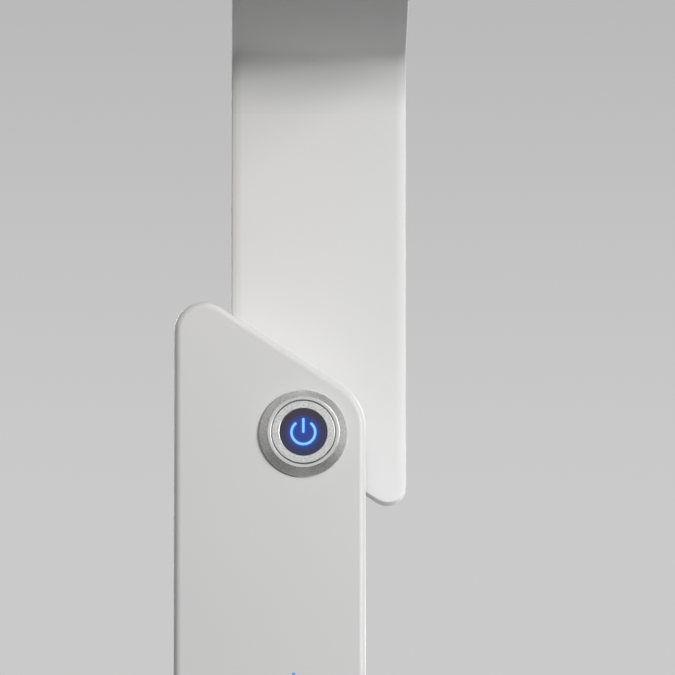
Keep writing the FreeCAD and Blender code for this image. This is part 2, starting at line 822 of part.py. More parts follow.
def make_control_board():
    front = "post_wall + board_standoff"
    board = new_body("control_board", "post")
    pad(board, "sheet", "XZ",
        [rectangle("-board_width / 2", "board_width / 2", "board_bottom_height", BOARD_TOP)],
        front, BOARD_BACK)
    holes = [(x, z, "board_screw_radius + screw_play") for x, z in board_corner_spots()]
    pocket(board, "holes", "XZ", holes, front, BOARD_BACK)
    spacers = [cylinder(f"standoff_{index}", x, "post_wall", z, "+y", "standoff_radius", "board_standoff")
               for index, (x, z) in enumerate(board_corner_spots(), 1)]
    piece("board_standoffs", group("Board_standoffs", spacers), "post")
    screws = []
    for index, (x, z) in enumerate(board_corner_spots(), 1):
        head = cylinder(f"board_screw_{index}_head", x, BOARD_BACK, z, "+y",
                        "board_screw_head_radius", "board_screw_head_height")
        shank = cylinder(f"board_screw_{index}_shank", x, f"{BOARD_BACK} - board_thickness", z, "+y",
                         "board_screw_radius", "board_screw_length")
        screws.append(fuse(f"board_screw_{index}", head, shank))
    piece("board_screws", group("Board_screws", screws), "post")

    row = "(cable_offset + cable_pitch)"
    plug = (f"{row} - connector_width / 2", f"{row} + connector_width / 2",
            BOARD_BACK, f"{BOARD_BACK} + connector_depth")
    lower = "(board_bottom_height - connector_overhang)"
    upper = f"({BOARD_TOP} + connector_overhang)"
    parts = [box("supply_connector", *plug, lower, f"{lower} + connector_height"),
             box("output_connector", *plug, f"{upper} - connector_height", upper)]
    for name, (width, height, x, z, depth) in BLOCKS.items():
        low = f"(board_bottom_height + {z} - {height} / 2)"
        parts.append(box(name, f"{x} - {width} / 2", f"{x} + {width} / 2", BOARD_BACK,
                         f"{BOARD_BACK} + {depth}", low, f"{low} + {height}"))
    for name, (radius, x, z, depth) in CAPACITORS.items():
        parts.append(cylinder(name, x, BOARD_BACK, f"board_bottom_height + {z}", "+y", radius, depth))
    piece("board_components", group("Board_components", parts), "post")


def cable_line(name):
    return f"(cable_offset + {CABLE_ROWS[name]} * cable_pitch)"


def cable_start(name):
    """The way from the board's output connector to the cable clips on the front wall."""
    x = cable_line(name)
    plug_top = f"{BOARD_TOP} + connector_overhang"
    return [(x, BOARD_PLUG_DEPTH, plug_top),
            (x, BOARD_PLUG_DEPTH, f"{plug_top} + cable_straight_length"),
            (x, "cable_depth", f"{plug_top} + cable_straight_length + cable_crossing_length")]


def make_cables():
    straight = "cable_straight_length"
    crossing = "cable_crossing_length"
    lamp_x = cable_line("lamp")
    axis_height = "button_height + hinge_rise"
    entry = "(contact_block_back_depth - 2 * cable_radius)"
    cable("lamp_cable", "post", "cable_radius",
          cable_start("lamp") + [(lamp_x, "cable_depth", f"button_height - {straight} - {crossing}"),
                                 (lamp_x, entry, f"button_height - {straight}"),
                                 (lamp_x, entry, axis_height),
                                 ("hinge_offset", entry, axis_height),
                                 ("hinge_offset", CABLE_JOINT, axis_height)])
    plug_y = "(contact_block_back_depth + switch_plug_gap + switch_plug_depth / 2)"
    cable("switch_cable", "post", "cable_radius",
          cable_start("switch") + [(cable_line("switch"), "cable_depth",
                                    f"button_height - {straight} - 2 * {crossing}"),
                                   ("button_offset", plug_y, f"button_height - {straight} - {crossing}"),
                                   ("button_offset", plug_y, "button_height + switch_plug_bottom_height")])
    socket_y = ("(post_wall + indicator_flange + indicator_led_thickness + indicator_board_thickness"
                " + indicator_socket_depth / 2)")
    low = "(button_height - indicator_drop - indicator_board_height / 2)"
    cable("indicator_cable", "post", "cable_radius",
          cable_start("indicator") + [(cable_line("indicator"), "cable_depth",
                                       f"{low} - {straight} - {crossing}"),
                                      ("indicator_offset", socket_y, f"{low} - {straight}"),
                                      ("indicator_offset", socket_y, f"{low} + indicator_socket_inset")])
    supply_x = cable_line("switch")
    cable("supply_cable", "post", "supply_cable_radius",
          [("0", "post_depth - jack_length", "jack_height"),
           ("0", BOARD_PLUG_DEPTH, "jack_height"),
           ("0", BOARD_PLUG_DEPTH, f"jack_height + {straight}"),
           (supply_x, BOARD_PLUG_DEPTH, f"jack_height + {straight} + {crossing}"),
           (supply_x, BOARD_PLUG_DEPTH, "board_bottom_height - connector_overhang")])


def make_cable_clips():
    clips = []
    middle_x = cable_line("switch")
    for index in range(CLIPS):
        z = f"clip_start_height + {index} * {CLIP_PITCH}"
        name = f"clip_{index + 1}"
        block = box(name + "_blank", f"{middle_x} - clip_width / 2", f"{middle_x} + clip_width / 2",
                    "post_wall", "post_wall + clip_thickness", z, f"{z} + clip_height")
        holes = [cylinder(f"{name}_hole_{row}", cable_line(row), "cable_depth", z, "+z",
                          "cable_radius + cable_play", "clip_height") for row in CABLE_ROWS]
        clips.append(cut(name, block, fuse(name + "_holes", *holes)))
    piece("cable_clips", group("Cable_clips", clips), "post")


# Push button

def make_switch_seal():
    seal = new_body("switch_seal", "switch")
    turn(seal, "ring", rectangle("barrel_radius + barrel_play", "bezel_radius - seal_inset",
                                 "-seal_thickness", "0"))


def make_switch_bezel():
    """The metal housing: a coned flange outside and a threaded barrel through the post's wall."""
    bezel = new_body("switch_bezel", "switch")
    turn(bezel, "metal", [
        (BEZEL_BORE, "-bezel_height"),
        ("bezel_rim_radius", "-bezel_height"),
        ("bezel_radius", "-(seal_thickness + bezel_lip)"),
        ("bezel_radius", "-seal_thickness"),
        ("barrel_radius", "-seal_thickness"),
        ("barrel_radius", "barrel_length"),
        (BEZEL_BORE, "barrel_length"),
    ])
    round_edges(bezel, "rim_edges", "bezel_edge_radius", lambda edge: at(edge, y="-bezel_height"))
    round_edges(bezel, "flange_edge", "bezel_edge_radius",
                lambda edge: at(edge, y="-(seal_thickness + bezel_lip)"))


def make_switch_nut():
    nut = prism("Switch_nut_blank", "0", "post_wall", "0", "+y", "switch_nut_width",
                "switch_nut_thickness")
    hole = cylinder("Switch_nut_hole", "0", "post_wall", "0", "+y", "barrel_radius",
                    "switch_nut_thickness")
    piece("switch_nut", cut("Switch_nut", nut, hole), "switch")


def make_contact_block():
    """The plastic block behind the button, with a well for the spring and a bore for the stem."""
    block = new_body("contact_block", "switch")
    well_floor = "contact_block_front_depth + contact_block_well_depth"
    stem = "plunger_radius + fit_gap"
    stem_floor = "-bezel_height + lens_thickness + plunger_length + button_travel + plunger_rest_gap"
    inner = "spring_radius - fit_gap"
    outer = "spring_radius + spring_thickness + fit_gap"
    spigot = f"{BEZEL_BORE} - spigot_play"
    turn(block, "moulding", [
        (stem, "contact_block_front_depth"), (inner, "contact_block_front_depth"), (inner, well_floor),
        (outer, well_floor), (outer, "contact_block_front_depth"),
        (spigot, "contact_block_front_depth"),
        (spigot, "barrel_length"), ("contact_block_radius", "barrel_length"),
        ("contact_block_radius", "contact_block_back_depth"), ("0", "contact_block_back_depth"),
        ("0", stem_floor), (stem, stem_floor),
    ])
    led = cylinder("Switch_led", "0", stem_floor, "0", "-y", "switch_led_radius", "switch_led_height")
    piece("switch_led", led)
    place(led, "0", stem_floor, "0", "-y", "switch")
    back = "contact_block_back_depth"
    blades = []
    slots = []
    for index, (x, z) in enumerate(TERMINALS, 1):
        blades.append(terminal_box(f"blade_{index}", x, z, back, f"{back} + terminal_length", "0"))
        slots.append(terminal_box(f"plug_slot_{index}", x, z, back,
                                  f"{back} + terminal_length + terminal_play", "terminal_play"))
    piece("switch_terminals", group("Switch_terminals", blades), "switch")
    plug = box("Switch_plug_blank", "-switch_plug_width / 2", "switch_plug_width / 2",
               f"{back} + switch_plug_gap", f"{back} + switch_plug_gap + switch_plug_depth",
               "switch_plug_bottom_height", "switch_plug_top_height")
    piece("switch_plug", cut("Switch_plug", plug, fuse("Plug_slots", *slots)), "switch")


def terminal_box(name, x, z, front, back, margin):
    """A blade of the switch, or the slot in the plug that takes it with the given margin."""
    half_width = f"(terminal_width / 2 + {margin})"
    half_height = f"(terminal_thickness / 2 + {margin})"
    return box(name, f"{x} - {half_width}", f"{x} + {half_width}", front, back,
               f"{z} - {half_height}", f"{z} + {half_height}")


def make_button():
    """The moving button: a metal ring, a dark lens with a standby symbol, a stem and its spring."""
    face = "-bezel_height"
    seat = "(-bezel_height + lens_thickness)"
    ring = new_body("button_ring", "switch")
    back = "actuator_back_depth"
    turn(ring, "metal", [("lens_radius", face), ("actuator_radius", face), ("actuator_radius", back),
                         ("lens_seat_radius", back), ("lens_seat_radius", seat), ("lens_radius", seat)])
    round_edges(ring, "face_edges", "bezel_edge_radius", lambda edge: at(edge, y=face))

    symbol = symbol_pieces()
    lens = cylinder("Lens_blank", "0", face, "0", "+y", "lens_radius", "lens_thickness")
    piece("button_lens", cut("Button_lens", lens, fuse("Symbol_seat", *symbol_pieces("_seat"))), "switch")
    piece("power_symbol", fuse("Power_symbol", *symbol), "switch")

    stem = cylinder("Button_stem", "0", seat, "0", "+y", "plunger_radius", "plunger_length")
    piece("button_stem", stem)
    place(stem, "0", seat, "0", "+y", "switch")

    spring = new_body("return_spring", "switch")
    turn(spring, "coils", rectangle("spring_radius", "spring_radius + spring_thickness",
                                    "actuator_back_depth",
                                    "contact_block_front_depth + spring_entry_depth"))


def symbol_pieces(suffix=""):
    """A ring open at the top and a bar, all with round ends, let into the lens."""
    face = "-bezel_height"
    centre = "(-symbol_drop)"
    half = "(symbol_stroke / 2)"
    opening = "(symbol_gap_angle / 2)"
    wide = cylinder("symbol_disc" + suffix, "0", face, centre, "+y", f"symbol_radius + {half}",
                    "symbol_depth")
    hole = cylinder("symbol_hole" + suffix, "0", face, centre, "+y", f"symbol_radius - {half}",
                    "symbol_depth")
    for disc in (wide, hole):
        disc.setExpression("Angle", bound("360 - symbol_gap_angle"))
        disc.Placement.Rotation = DIRECTIONS["+y"] * Rotation(Vector(0, 0, 1), value(f"270 + {opening}"))
    parts = [cut("symbol_ring" + suffix, wide, hole)]
    for side, name in (("-", "left"), ("", "right")):
        x = f"{side}symbol_radius * sin({opening})"
        z = f"{centre} + symbol_radius * cos({opening})"
        parts.append(cylinder(f"symbol_{name}_end{suffix}", x, face, z, "+y", half, "symbol_depth"))
    top = f"({centre} + symbol_bar_top_height)"
    bottom = f"({centre} + symbol_bar_bottom_height)"
    parts.append(box("symbol_bar" + suffix, f"-{half}", half, face, f"{face} + symbol_depth", bottom, top))
    for name, z in (("top", top), ("bottom", bottom)):
        parts.append(cylinder(f"symbol_bar_{name}{suffix}", "0", face, z, "+y", half, "symbol_depth"))
    return parts


# Indicator

def indicator_sides(x, z, margin):
    return rectangle(f"{x} - indicator_width / 2 - {margin}", f"{x} + indicator_width / 2 + {margin}",
                     f"{z} - indicator_length / 2 - {margin}", f"{z} + indicator_length / 2 + {margin}")


def make_indicator():
    pipe = new_body("indicator_light_pipe", "indicator")
    back = "(post_wall + indicator_flange)"
    pad(pipe, "window", "XZ", [indicator_sides("0", "0", "0")], "0", "post_wall")
    pad(pipe, "flange", "XZ", [indicator_sides("0", "0", "indicator_flange_margin")],
        "post_wall", back)
    led_back = f"({back} + indicator_led_thickness)"
    half_width = "indicator_led_width / 2"
    half_length = "indicator_led_length / 2"
    led = box("Indicator_led", f"-{half_width}", half_width, back, led_back, f"-{half_length}", half_length)
    piece("indicator_led", led)
    place(led, f"-{half_width}", back, f"-{half_length}", frame="indicator")
    half_width = "indicator_board_width / 2"
    half_height = "indicator_board_height / 2"
    board_back = f"({led_back} + indicator_board_thickness)"
    sheet_box = box("Indicator_sheet", f"-{half_width}", half_width, led_back, board_back,
                    f"-{half_height}", half_height)
    socket_low = f"(indicator_socket_inset - {half_height})"
    socket = box("Indicator_socket", "-indicator_socket_width / 2", "indicator_socket_width / 2",
                 board_back, f"{board_back} + indicator_socket_depth",
                 socket_low, f"{socket_low} + indicator_socket_height")
    piece("indicator_board", fuse("Indicator_board", sheet_box, socket), "indicator")
    inner = f"({half_height} - indicator_pad_height)"
    places = (("low", f"-{half_height}", f"-{inner}"), ("high", inner, half_height))
    pads = [box(f"indicator_pad_{side}", f"-{half_width}", half_width, "post_wall", led_back, low, high)
            for side, low, high in places]
    piece("indicator_pads", group("Indicator_pads", pads), "indicator")


# Hinge

def make_hinge_bracket():
    """A steel plate behind the button that carries the bush and the two stop pins."""
    bracket = new_body("hinge_bracket", "post")
    inset = "post_wall + fit_gap"
    low = "button_height - hinge_bracket_drop"
    pad(bracket, "plate", "XZ", [post_outline(inset, low)], BRACKET_FACE, COVER_FACE)
    round_post_top(bracket, inset)
    half = f"(post_width / 2 - ({inset}))"
    for side, name in (("-", "left"), ("", "right")):
        near = f"{side}({half} - hinge_flange_thickness)"
        far = f"{side}{half}"
        low_x, high_x = (far, near) if side else (near, far)
        pad(bracket, name + "_flange", "XZ",
            [rectangle(low_x, high_x, low, "button_height - hinge_flange_drop")],
            f"{BRACKET_FACE} - hinge_flange_depth", BRACKET_FACE)
    pocket(bracket, "bush_hole", "XZ", [("hinge_offset", "button_height + hinge_rise", "bush_radius")],
           BRACKET_FACE, COVER_FACE)
    pins = [(f"hinge_offset + {x}", f"button_height + hinge_rise + {z}", "stop_pin_radius")
            for x, z in stop_pin_spots()]
    pocket(bracket, "pin_holes", "XZ", pins, BRACKET_FACE, COVER_FACE)
    pocket(bracket, "screw_hole", "XZ", [("0", cover_screw_heights()[-1], "screw_radius")],
           BRACKET_FACE, COVER_FACE)


def stop_pin_spots():
    """Each pin meets the washer's tab, which points square away from the slanted top at rest."""
    lean = "asin((stop_tab_width / 2 + stop_pin_radius + stop_play) / stop_pin_circle) / 1deg"
    spots = []
    for side in ("-", "+"):
        turned = f"(270 - slant_angle {side} (stop_angle + {lean}))"
        spots.append((f"(stop_pin_circle * cos{turned})", f"(stop_pin_circle * sin{turned})"))
    return spots


def make_stop_pins():
    pins = [cylinder(f"stop_pin_{index}", x, COVER_FACE, z, "-y", "stop_pin_radius",
                     "hinge_bracket_thickness + stop_pin_length")
            for index, (x, z) in enumerate(stop_pin_spots(), 1)]
    piece("stop_pins", group("Stop_pins", pins), "hinge")


def make_hinge_bush():
    bush = new_body("hinge_bush", "hinge")
    flange = "post_depth + joint_gap - hinge_play"
    turn(bush, "sleeve", [("shaft_radius + running_clearance", BRACKET_FACE), ("bush_radius", BRACKET_FACE),
                          ("bush_radius", "post_depth"), ("bush_flange_radius", "post_depth"),
                          ("bush_flange_radius", flange), ("shaft_radius + running_clearance", flange)])


def make_hinge_shaft():
    """A hollow shaft, riveted to the plate in the arm, flattened on two sides where the washers sit."""
    shaft = new_body("hinge_shaft", "hinge")
    shoulder = "post_depth + joint_gap + arm_wall"
    back = f"{shoulder} + arm_plate_thickness"
    front = f"{NUT_FACE} - shaft_end_length"
    turn(shaft, "rod", [("shaft_bore_radius", front), ("shaft_radius", front), ("shaft_radius", shoulder),
                        ("shaft_neck_radius", shoulder), ("shaft_neck_radius", back),
                        ("shaft_bore_radius", back)])
    for side, name in (("-", "left"), ("", "right")):
        near = f"{side}shaft_flat_offset"
        far = f"{side}(shaft_radius + {OVER})"
        low, high = (far, near) if side else (near, far)
        pocket(shaft, name + "_flat", "XZ", [rectangle(low, high, "-shaft_radius", "shaft_radius")],
               front, BRACKET_FACE)


def washer_ring(name, face, thickness):
    ring = new_body(name, "hinge")
    turn(ring, "ring", rectangle("shaft_radius + running_clearance", "washer_radius", face,
                                 f"{face} + {thickness}"))
    return ring


def make_hinge_washers():
    washer_ring("friction_washer", FRICTION_FACE, "friction_washer_thickness")

    blank = cylinder("Stop_disc", "0", STOP_FACE, "0", "+y", "washer_radius", "stop_washer_thickness")
    tab = box("Stop_tab", "-stop_tab_width / 2", "stop_tab_width / 2", STOP_FACE, FRICTION_FACE,
              "-stop_tab_length", "0")
    tab.Placement.Rotation = Rotation(Vector(0, 1, 0), value("slant_angle"))
    turned = ("-stop_tab_width / 2", "-stop_tab_length")
    tab.setExpression("Placement.Base.x", bound(
        f"({turned[0]}) * cos(slant_angle) + ({turned[1]}) * sin(slant_angle)"))
    tab.setExpression("Placement.Base.z", bound(
        f"({turned[1]}) * cos(slant_angle) - ({turned[0]}) * sin(slant_angle)"))
    round_hole = cylinder("Stop_hole_round", "0", STOP_FACE, "0", "+y", "shaft_radius + running_clearance",
                          "stop_washer_thickness")
    half = "(shaft_flat_offset + running_clearance)"
    flats = box("Stop_hole_flats", f"-{half}", half, STOP_FACE, FRICTION_FACE,
                f"-(shaft_radius + {OVER})", f"shaft_radius + {OVER}")
    hole = doc.addObject("Part::MultiCommon", "Stop_hole")
    hole.Shapes = [round_hole, flats]
    piece("stop_washer", cut("Stop_washer", fuse("Stop_blank", blank, tab), hole), "hinge")

    springs = []
    for index, (start, lift) in enumerate(((SPRING_FACE, 1), (STOP_FACE, -1)), 1):
        springs.append(coned_washer(f"spring_washer_{index}", start, lift))
    piece("spring_washers", group("Spring_washers", springs), "hinge")


def coned_washer(name, start, lift):
    """A coned ring whose wide end is at the start and whose narrow end is lifted from it."""
    sign = "+" if lift > 0 else "-"
    rise = "(spring_washer_rise - spring_washer_thickness)"
    shell = doc.addObject("Part::Feature", name)
    inner = value("shaft_radius + running_clearance")
    outer = value("washer_radius")
    near = value(start)
    far = value(f"{start} {sign} {rise}")
    thick = value(f"{sign}spring_washer_thickness")
    corners = [Vector(outer, near, 0), Vector(inner, far, 0), Vector(inner, far + thick, 0),
               Vector(outer, near + thick, 0)]
    profile = Part.Face(Part.makePolygon(corners + corners[:1]))
    shell.Shape = profile.revolve(Vector(0, 0, 0), Vector(0, 1, 0), 360)
    return shell


def make_hinge_nut():
    nut = new_body("hinge_nut", "hinge")
    turn(nut, "ring", rectangle("shaft_radius + running_clearance", "washer_radius", NUT_FACE, SPRING_FACE))
    half = "(hinge_nut_slot_width / 2)"
    inner = "(shaft_radius + hinge_nut_slot_inset)"
    outer = f"(washer_radius + {OVER})"
    slots = [rectangle(f"-{half}", half, inner, outer),
             rectangle(f"-{half}", half, f"-{outer}", f"-{inner}")]
    pocket(nut, "key_slots", "XZ", slots, NUT_FACE, SPRING_FACE)


# Arm

def arm_slant(x, inset):
    """Height of the arm's slanted lower end over the button, moved in by the inset."""
    return f"(-arm_slant_drop + ({inset}) / cos(slant_angle) - ({x}) * tan(slant_angle))"


def cut_arm_slant(body, half, inset):
    """Cuts the lower end of an arm piece on the slant and rounds its two corners."""
    over = f"({half} + {OVER})"
    low = "-arm_width"
    corners = [(f"-{over}", low), (over, low), (over, arm_slant(over, inset)),
               (f"-{over}", arm_slant("-" + over, inset))]
    pocket(body, "slant", "XZ", [corners], f"-{OVER}", f"arm_thickness + {OVER}")
    for name, side, radius in (("tip", "", "arm_tip_radius"), ("shoulder", "-", "arm_shoulder_radius")):
        height = arm_slant(side + half, inset)
        round_edges(body, name, f"{radius} - ({inset})",
                    lambda edge: at(edge, x=side + half, z=height) and runs_along(edge, "y"))


def bent_strip(body, name, half, front, back, head_end):
    """A strip bent from upright to level: front and back are its faces, counted from the arm's face."""
    low = "-(arm_width / 2)"
    under = f"({HEAD_UNDER} + {front})"
    top = f"({HEAD_UNDER} + {back})"
    corners = [(back, low), (back, top), (head_end, top), (head_end, under), (front, under), (front, low)]
    pad(body, name, "YZ", [corners], f"-{half}", half)
    round_edges(body, name + "_inner_bend", f"bend_radius + ({front})",
                lambda edge: at(edge, y=front, z=under) and runs_along(edge, "x"))
    round_edges(body, name + "_outer_bend", f"bend_radius + ({back})",
                lambda edge: at(edge, y=back, z=top) and runs_along(edge, "x"))


def boss_spots():
    """Bosses for the cover's screws: three on the upright leg and two on the head."""
    upright = [("boss_offset", "boss_low_height"), ("-boss_offset", "boss_high_height"),
               ("boss_offset", "boss_high_height")]
    level = [("-boss_offset", "-boss_head_offset"), ("boss_offset", "-boss_head_offset")]
    return upright, level


def make_arm_shell():
    shell = new_body("arm_shell", "arm")
    half = "(arm_width / 2)"
    bent_strip(shell, "slab", half, "0", "arm_thickness", "-head_length")
    cut_arm_slant(shell, half, "0")
    round_edges(shell, "head_corners", "head_corner_radius",
                lambda edge: at(edge, y="-head_length") and runs_along(edge, "z"))
    top = value(HEAD_TOP)
    back = value("arm_thickness")
    hollow(shell, "walls", "arm_wall", lambda face: on_arm_back(face, back, top))
    bend = value("bend_rise")
    round_edges(shell, "front_edges", "arm_edge_radius", lambda edge: on_arm_face(edge, bend))
    upright, level = boss_spots()
    floor = "arm_thickness - arm_cover_thickness"
    pad(shell, "upright_bosses", "XZ", [(x, z, "boss_radius") for x, z in upright], "arm_wall / 2", floor)
    pad(shell, "level_bosses", "XY", [(x, y, "boss_radius") for x, y in level],
        f"{HEAD_UNDER} + arm_wall / 2", f"{HEAD_UNDER} + {floor}")
    pocket(shell, "upright_boss_holes", "XZ", [(x, z, "arm_screw_radius") for x, z in upright],
           "arm_wall", floor)
    pocket(shell, "level_boss_holes", "XY", [(x, y, "arm_screw_radius") for x, y in level],
           f"{HEAD_UNDER} + arm_wall", f"{HEAD_UNDER} + {floor}")
    pocket(shell, "shaft_hole", "XZ", [(*HINGE_IN_ARM, "shaft_radius + running_clearance")], "0", "arm_wall")


def on_arm_face(edge, bend):
    """True for the outline of the arm's front face, its bend and the head's underside."""
    point = middle(edge)
    radius = value("bend_radius")
    on_upright = abs(point.y) < NEAR and point.z < bend + NEAR
    on_level = abs(point.z - value(HEAD_UNDER)) < NEAR and point.y < NEAR - radius
    on_bend = point.y > -radius and abs(math.hypot(point.y + radius, point.z - bend) - radius) < NEAR
    crosses = runs_along(edge, "x") and (on_bend or abs(point.z - bend) < NEAR
                                         or abs(point.y + radius) < NEAR)
    return (on_upright or on_level or on_bend) and not crosses


def on_arm_back(face, back, top):
    """True for the arm's open side: its back, the outside of its bend and the head's top."""
    box_of_face = face.BoundBox
    is_back = abs(box_of_face.YMin - back) < NEAR
    is_top = abs(box_of_face.ZMin - top) < NEAR
    is_bend = abs(box_of_face.YMax - back) < NEAR and abs(box_of_face.ZMax - top) < NEAR
    spans = box_of_face.XLength > value("arm_width") / 2
    return spans and (is_back or is_top or is_bend)


def make_arm_cover():
    """The strip that closes the back of the arm and its bend, up to the diffuser."""
    cover = new_body("arm_rear_cover", "arm")
    inset = "arm_wall + panel_gap"
    half = f"(arm_width / 2 - ({inset}))"
    bent_strip(cover, "strip", half, "(arm_thickness - arm_cover_thickness)", "arm_thickness",
               "-arm_cover_length")
    cut_arm_slant(cover, half, inset)
    upright, level = boss_spots()
    for index, (x, z) in enumerate(upright, 1):
        countersink(cover, f"back_hole_{index}", x, "arm_thickness", z, "-y", "arm_screw",
                    f"arm_cover_thickness + {OVER}")
    for index, (x, y) in enumerate(level, 1):
        countersink(cover, f"top_hole_{index}", x, y, HEAD_TOP, "-z", "arm_screw",
                    f"arm_cover_thickness + {OVER}")


def make_arm_cover_screws():
    upright, level = boss_spots()
    screws = [countersunk_screw(f"arm_back_screw_{index}", "arm_screw", x, "arm_thickness", z, "-y")
              for index, (x, z) in enumerate(upright, 1)]
    screws += [countersunk_screw(f"arm_top_screw_{index}", "arm_screw", x, y, HEAD_TOP, "-z")
               for index, (x, y) in enumerate(level, 1)]
    piece("arm_cover_screws", group("Arm_cover_screws", screws), "arm")


def stud_spots():
    middle_x = HINGE_IN_ARM[0]
    return [(f"{middle_x} {side} stud_spacing_x / 2", f"stud_low_height + {step} * stud_spacing_z")
            for side in ("-", "+") for step in (0, 1)]


def make_arm_plate():
    """The steel plate in the arm's lower end that carries the hinge shaft, on four studs and nuts."""
    plate = new_body("arm_hinge_plate", "arm")
    middle_x = HINGE_IN_ARM[0]
    low_x = f"({middle_x} - arm_plate_width / 2)"
    high_x = f"({middle_x} + arm_plate_width / 2)"
    inset = "arm_wall + fit_gap"
    back = "arm_wall + arm_plate_thickness"
    corners = [(low_x, arm_slant(low_x, inset)), (high_x, arm_slant(high_x, inset)),
               (high_x, "arm_plate_height"), (low_x, "arm_plate_height")]
    pad(plate, "sheet", "XZ", [corners], "arm_wall", back)
    round_edges(plate, "corners", "arm_plate_width / 8",
                lambda edge: runs_along(edge, "y") and not at(edge, z="arm_plate_height"))
    holes = [(*HINGE_IN_ARM, "shaft_neck_radius")]
    holes += [(x, z, "stud_radius + screw_play") for x, z in stud_spots()]
    pocket(plate, "holes", "XZ", holes, "arm_wall", back)
    studs = [cylinder(f"stud_{index}", x, "arm_wall", z, "+y", "stud_radius", "stud_length")
             for index, (x, z) in enumerate(stud_spots(), 1)]
    piece("plate_studs", group("Plate_studs", studs), "arm")
    nuts = []
    for index, (x, z) in enumerate(stud_spots(), 1):
        blank = prism(f"stud_nut_{index}_blank", x, back, z, "+y", "stud_nut_width", "stud_nut_thickness")
        hole = cylinder(f"stud_nut_{index}_hole", x, back, z, "+y", "stud_radius", "stud_nut_thickness")
        nuts.append(cut(f"stud_nut_{index}", blank, hole))
    piece("plate_nuts", group("Plate_nuts", nuts), "arm")


# Light source

def head_plate(label, inset, start, low, high, corner):
    """A flat piece of the head: inset from the shell's inside, from start to the head's tip."""
    body = new_body(label, "arm")
    half = f"({ARM_INNER} - {inset})"
    tip = f"-(head_length - arm_wall - {inset})"
    pad(body, "sheet", "XY", [rectangle(f"-{half}", half, tip, f"-({start})")], low, high)
    round_edges(body, "corners", corner, lambda edge: at(edge, y=tip) and runs_along(edge, "z"))
    return body


def make_light_source():
    floor = f"({HEAD_UNDER} + arm_wall)"
    spreader_top = f"({floor} + spreader_thickness)"
    board_top = f"({spreader_top} + led_board_thickness)"
    head_plate("heat_spreader", "spreader_inset", "board_start_offset", floor, spreader_top,
               "head_corner_radius - arm_wall")
    head_plate("led_board", "led_board_inset", "board_start_offset", spreader_top, board_top,
               "head_corner_radius - arm_wall")
    diffuser = head_plate("diffuser", "panel_gap", "arm_cover_length + panel_gap",
                          f"{HEAD_TOP} - diffuser_thickness", HEAD_TOP,
                          "head_corner_radius - arm_wall - panel_gap")
    round_edges(diffuser, "top_edge", "diffuser_edge_radius", lambda edge: at(edge, z=HEAD_TOP))

    leds = []
    for row in LED_ROWS:
        for index in range(LEDS_PER_ROW):
            x = f"({row} * led_row_offset)"
            y = f"(-(arm_cover_length + led_margin + {index} * {LED_PITCH}))"
            leds.append(box(f"led_{'right' if row > 0 else 'left'}_{index + 1}", f"{x} - led_width / 2",
                            f"{x} + led_width / 2", f"{y} - led_width / 2", f"{y} + led_width / 2",
                            board_top, f"{board_top} + led_height"))
    piece("leds", group("Leds", leds), "arm")

    cable_height = f"({HEAD_UNDER} + arm_cable_depth)"
    middle_x = HINGE_IN_ARM[0]
    plug = box("Arm_plug", f"{middle_x} - arm_connector_width / 2", f"{middle_x} + arm_connector_width / 2",
               "-board_start_offset", "-board_start_offset + arm_connector_depth",
               f"{cable_height} - arm_connector_height / 2", f"{cable_height} + arm_connector_height / 2")
    piece("arm_connector", group("Arm_connector", [plug]), "arm")


def make_arm_cable():
    """From the middle of the hinge shaft up behind its plate, round the bend and to the LED board."""
    x, hinge_z = HINGE_IN_ARM
    start = f"{CABLE_JOINT} - post_depth - joint_gap"
    level = f"({HEAD_UNDER} + arm_cable_depth)"
    points = [Vector(value(x), value(start), value(hinge_z)),
              Vector(value(x), value("arm_cable_depth"), value(hinge_z)),
              Vector(value(x), value("arm_cable_depth"), value("bend_rise")),
              Vector(value(x), value("-bend_radius"), value(level)),
              Vector(value(x), value("-board_start_offset + arm_connector_depth"), value(level))]
    tight = value("arm_cable_bend_radius")
    corner = points[1]
    enter = corner - Vector(0, tight, 0)
    leave = corner + Vector(0, 0, tight)
    slope = tight * (1 - math.sqrt(0.5))
    bow = corner + Vector(0, -slope, slope)
    centre = Vector(points[2].x, points[3].y, points[2].z)
    reach = value("bend_radius + arm_cable_depth") * math.sqrt(0.5)
    crown = centre + Vector(0, reach, reach)
    edges = [Part.LineSegment(points[0], enter), Part.Arc(enter, bow, leave),
             Part.LineSegment(leave, points[2]), Part.Arc(points[2], crown, points[3]),
             Part.LineSegment(points[3], points[4])]
    route = Part.Wire([edge.toShape() for edge in edges])
    end = Part.Circle(points[0], Vector(0, 1, 0), value("cable_radius")).toShape()
    feature = doc.addObject("Part::Feature", "Cable_arm_cable")
    feature.Shape = route.makePipe(Part.Face(Part.Wire(end)))
    piece("arm_cable", feature, "arm")


def write_pieces():
    """Stops at the first object that failed, then writes one file for each piece."""
    doc.recompute()
    for thing in doc.Objects:
        if {"Invalid", "Error"} & set(thing.State):
            raise ValueError(f"{thing.Label} is {thing.State}")
    for thing in PIECES:
        if thing.Shape.isNull() or not thing.Shape.isValid() or not thing.Shape.Solids:
            raise ValueError(f"{thing.Label} has no valid solid")
    os.makedirs("parts", exist_ok=True)
    for thing in PIECES:
        thing.Shape.exportStep(f"parts/{thing.Label}.step")
        print(f"{thing.Label}: {len(thing.Shape.Solids)} solid(s), {thing.Shape.Volume:.1f} mm3")
    print(len(PIECES), "pieces")


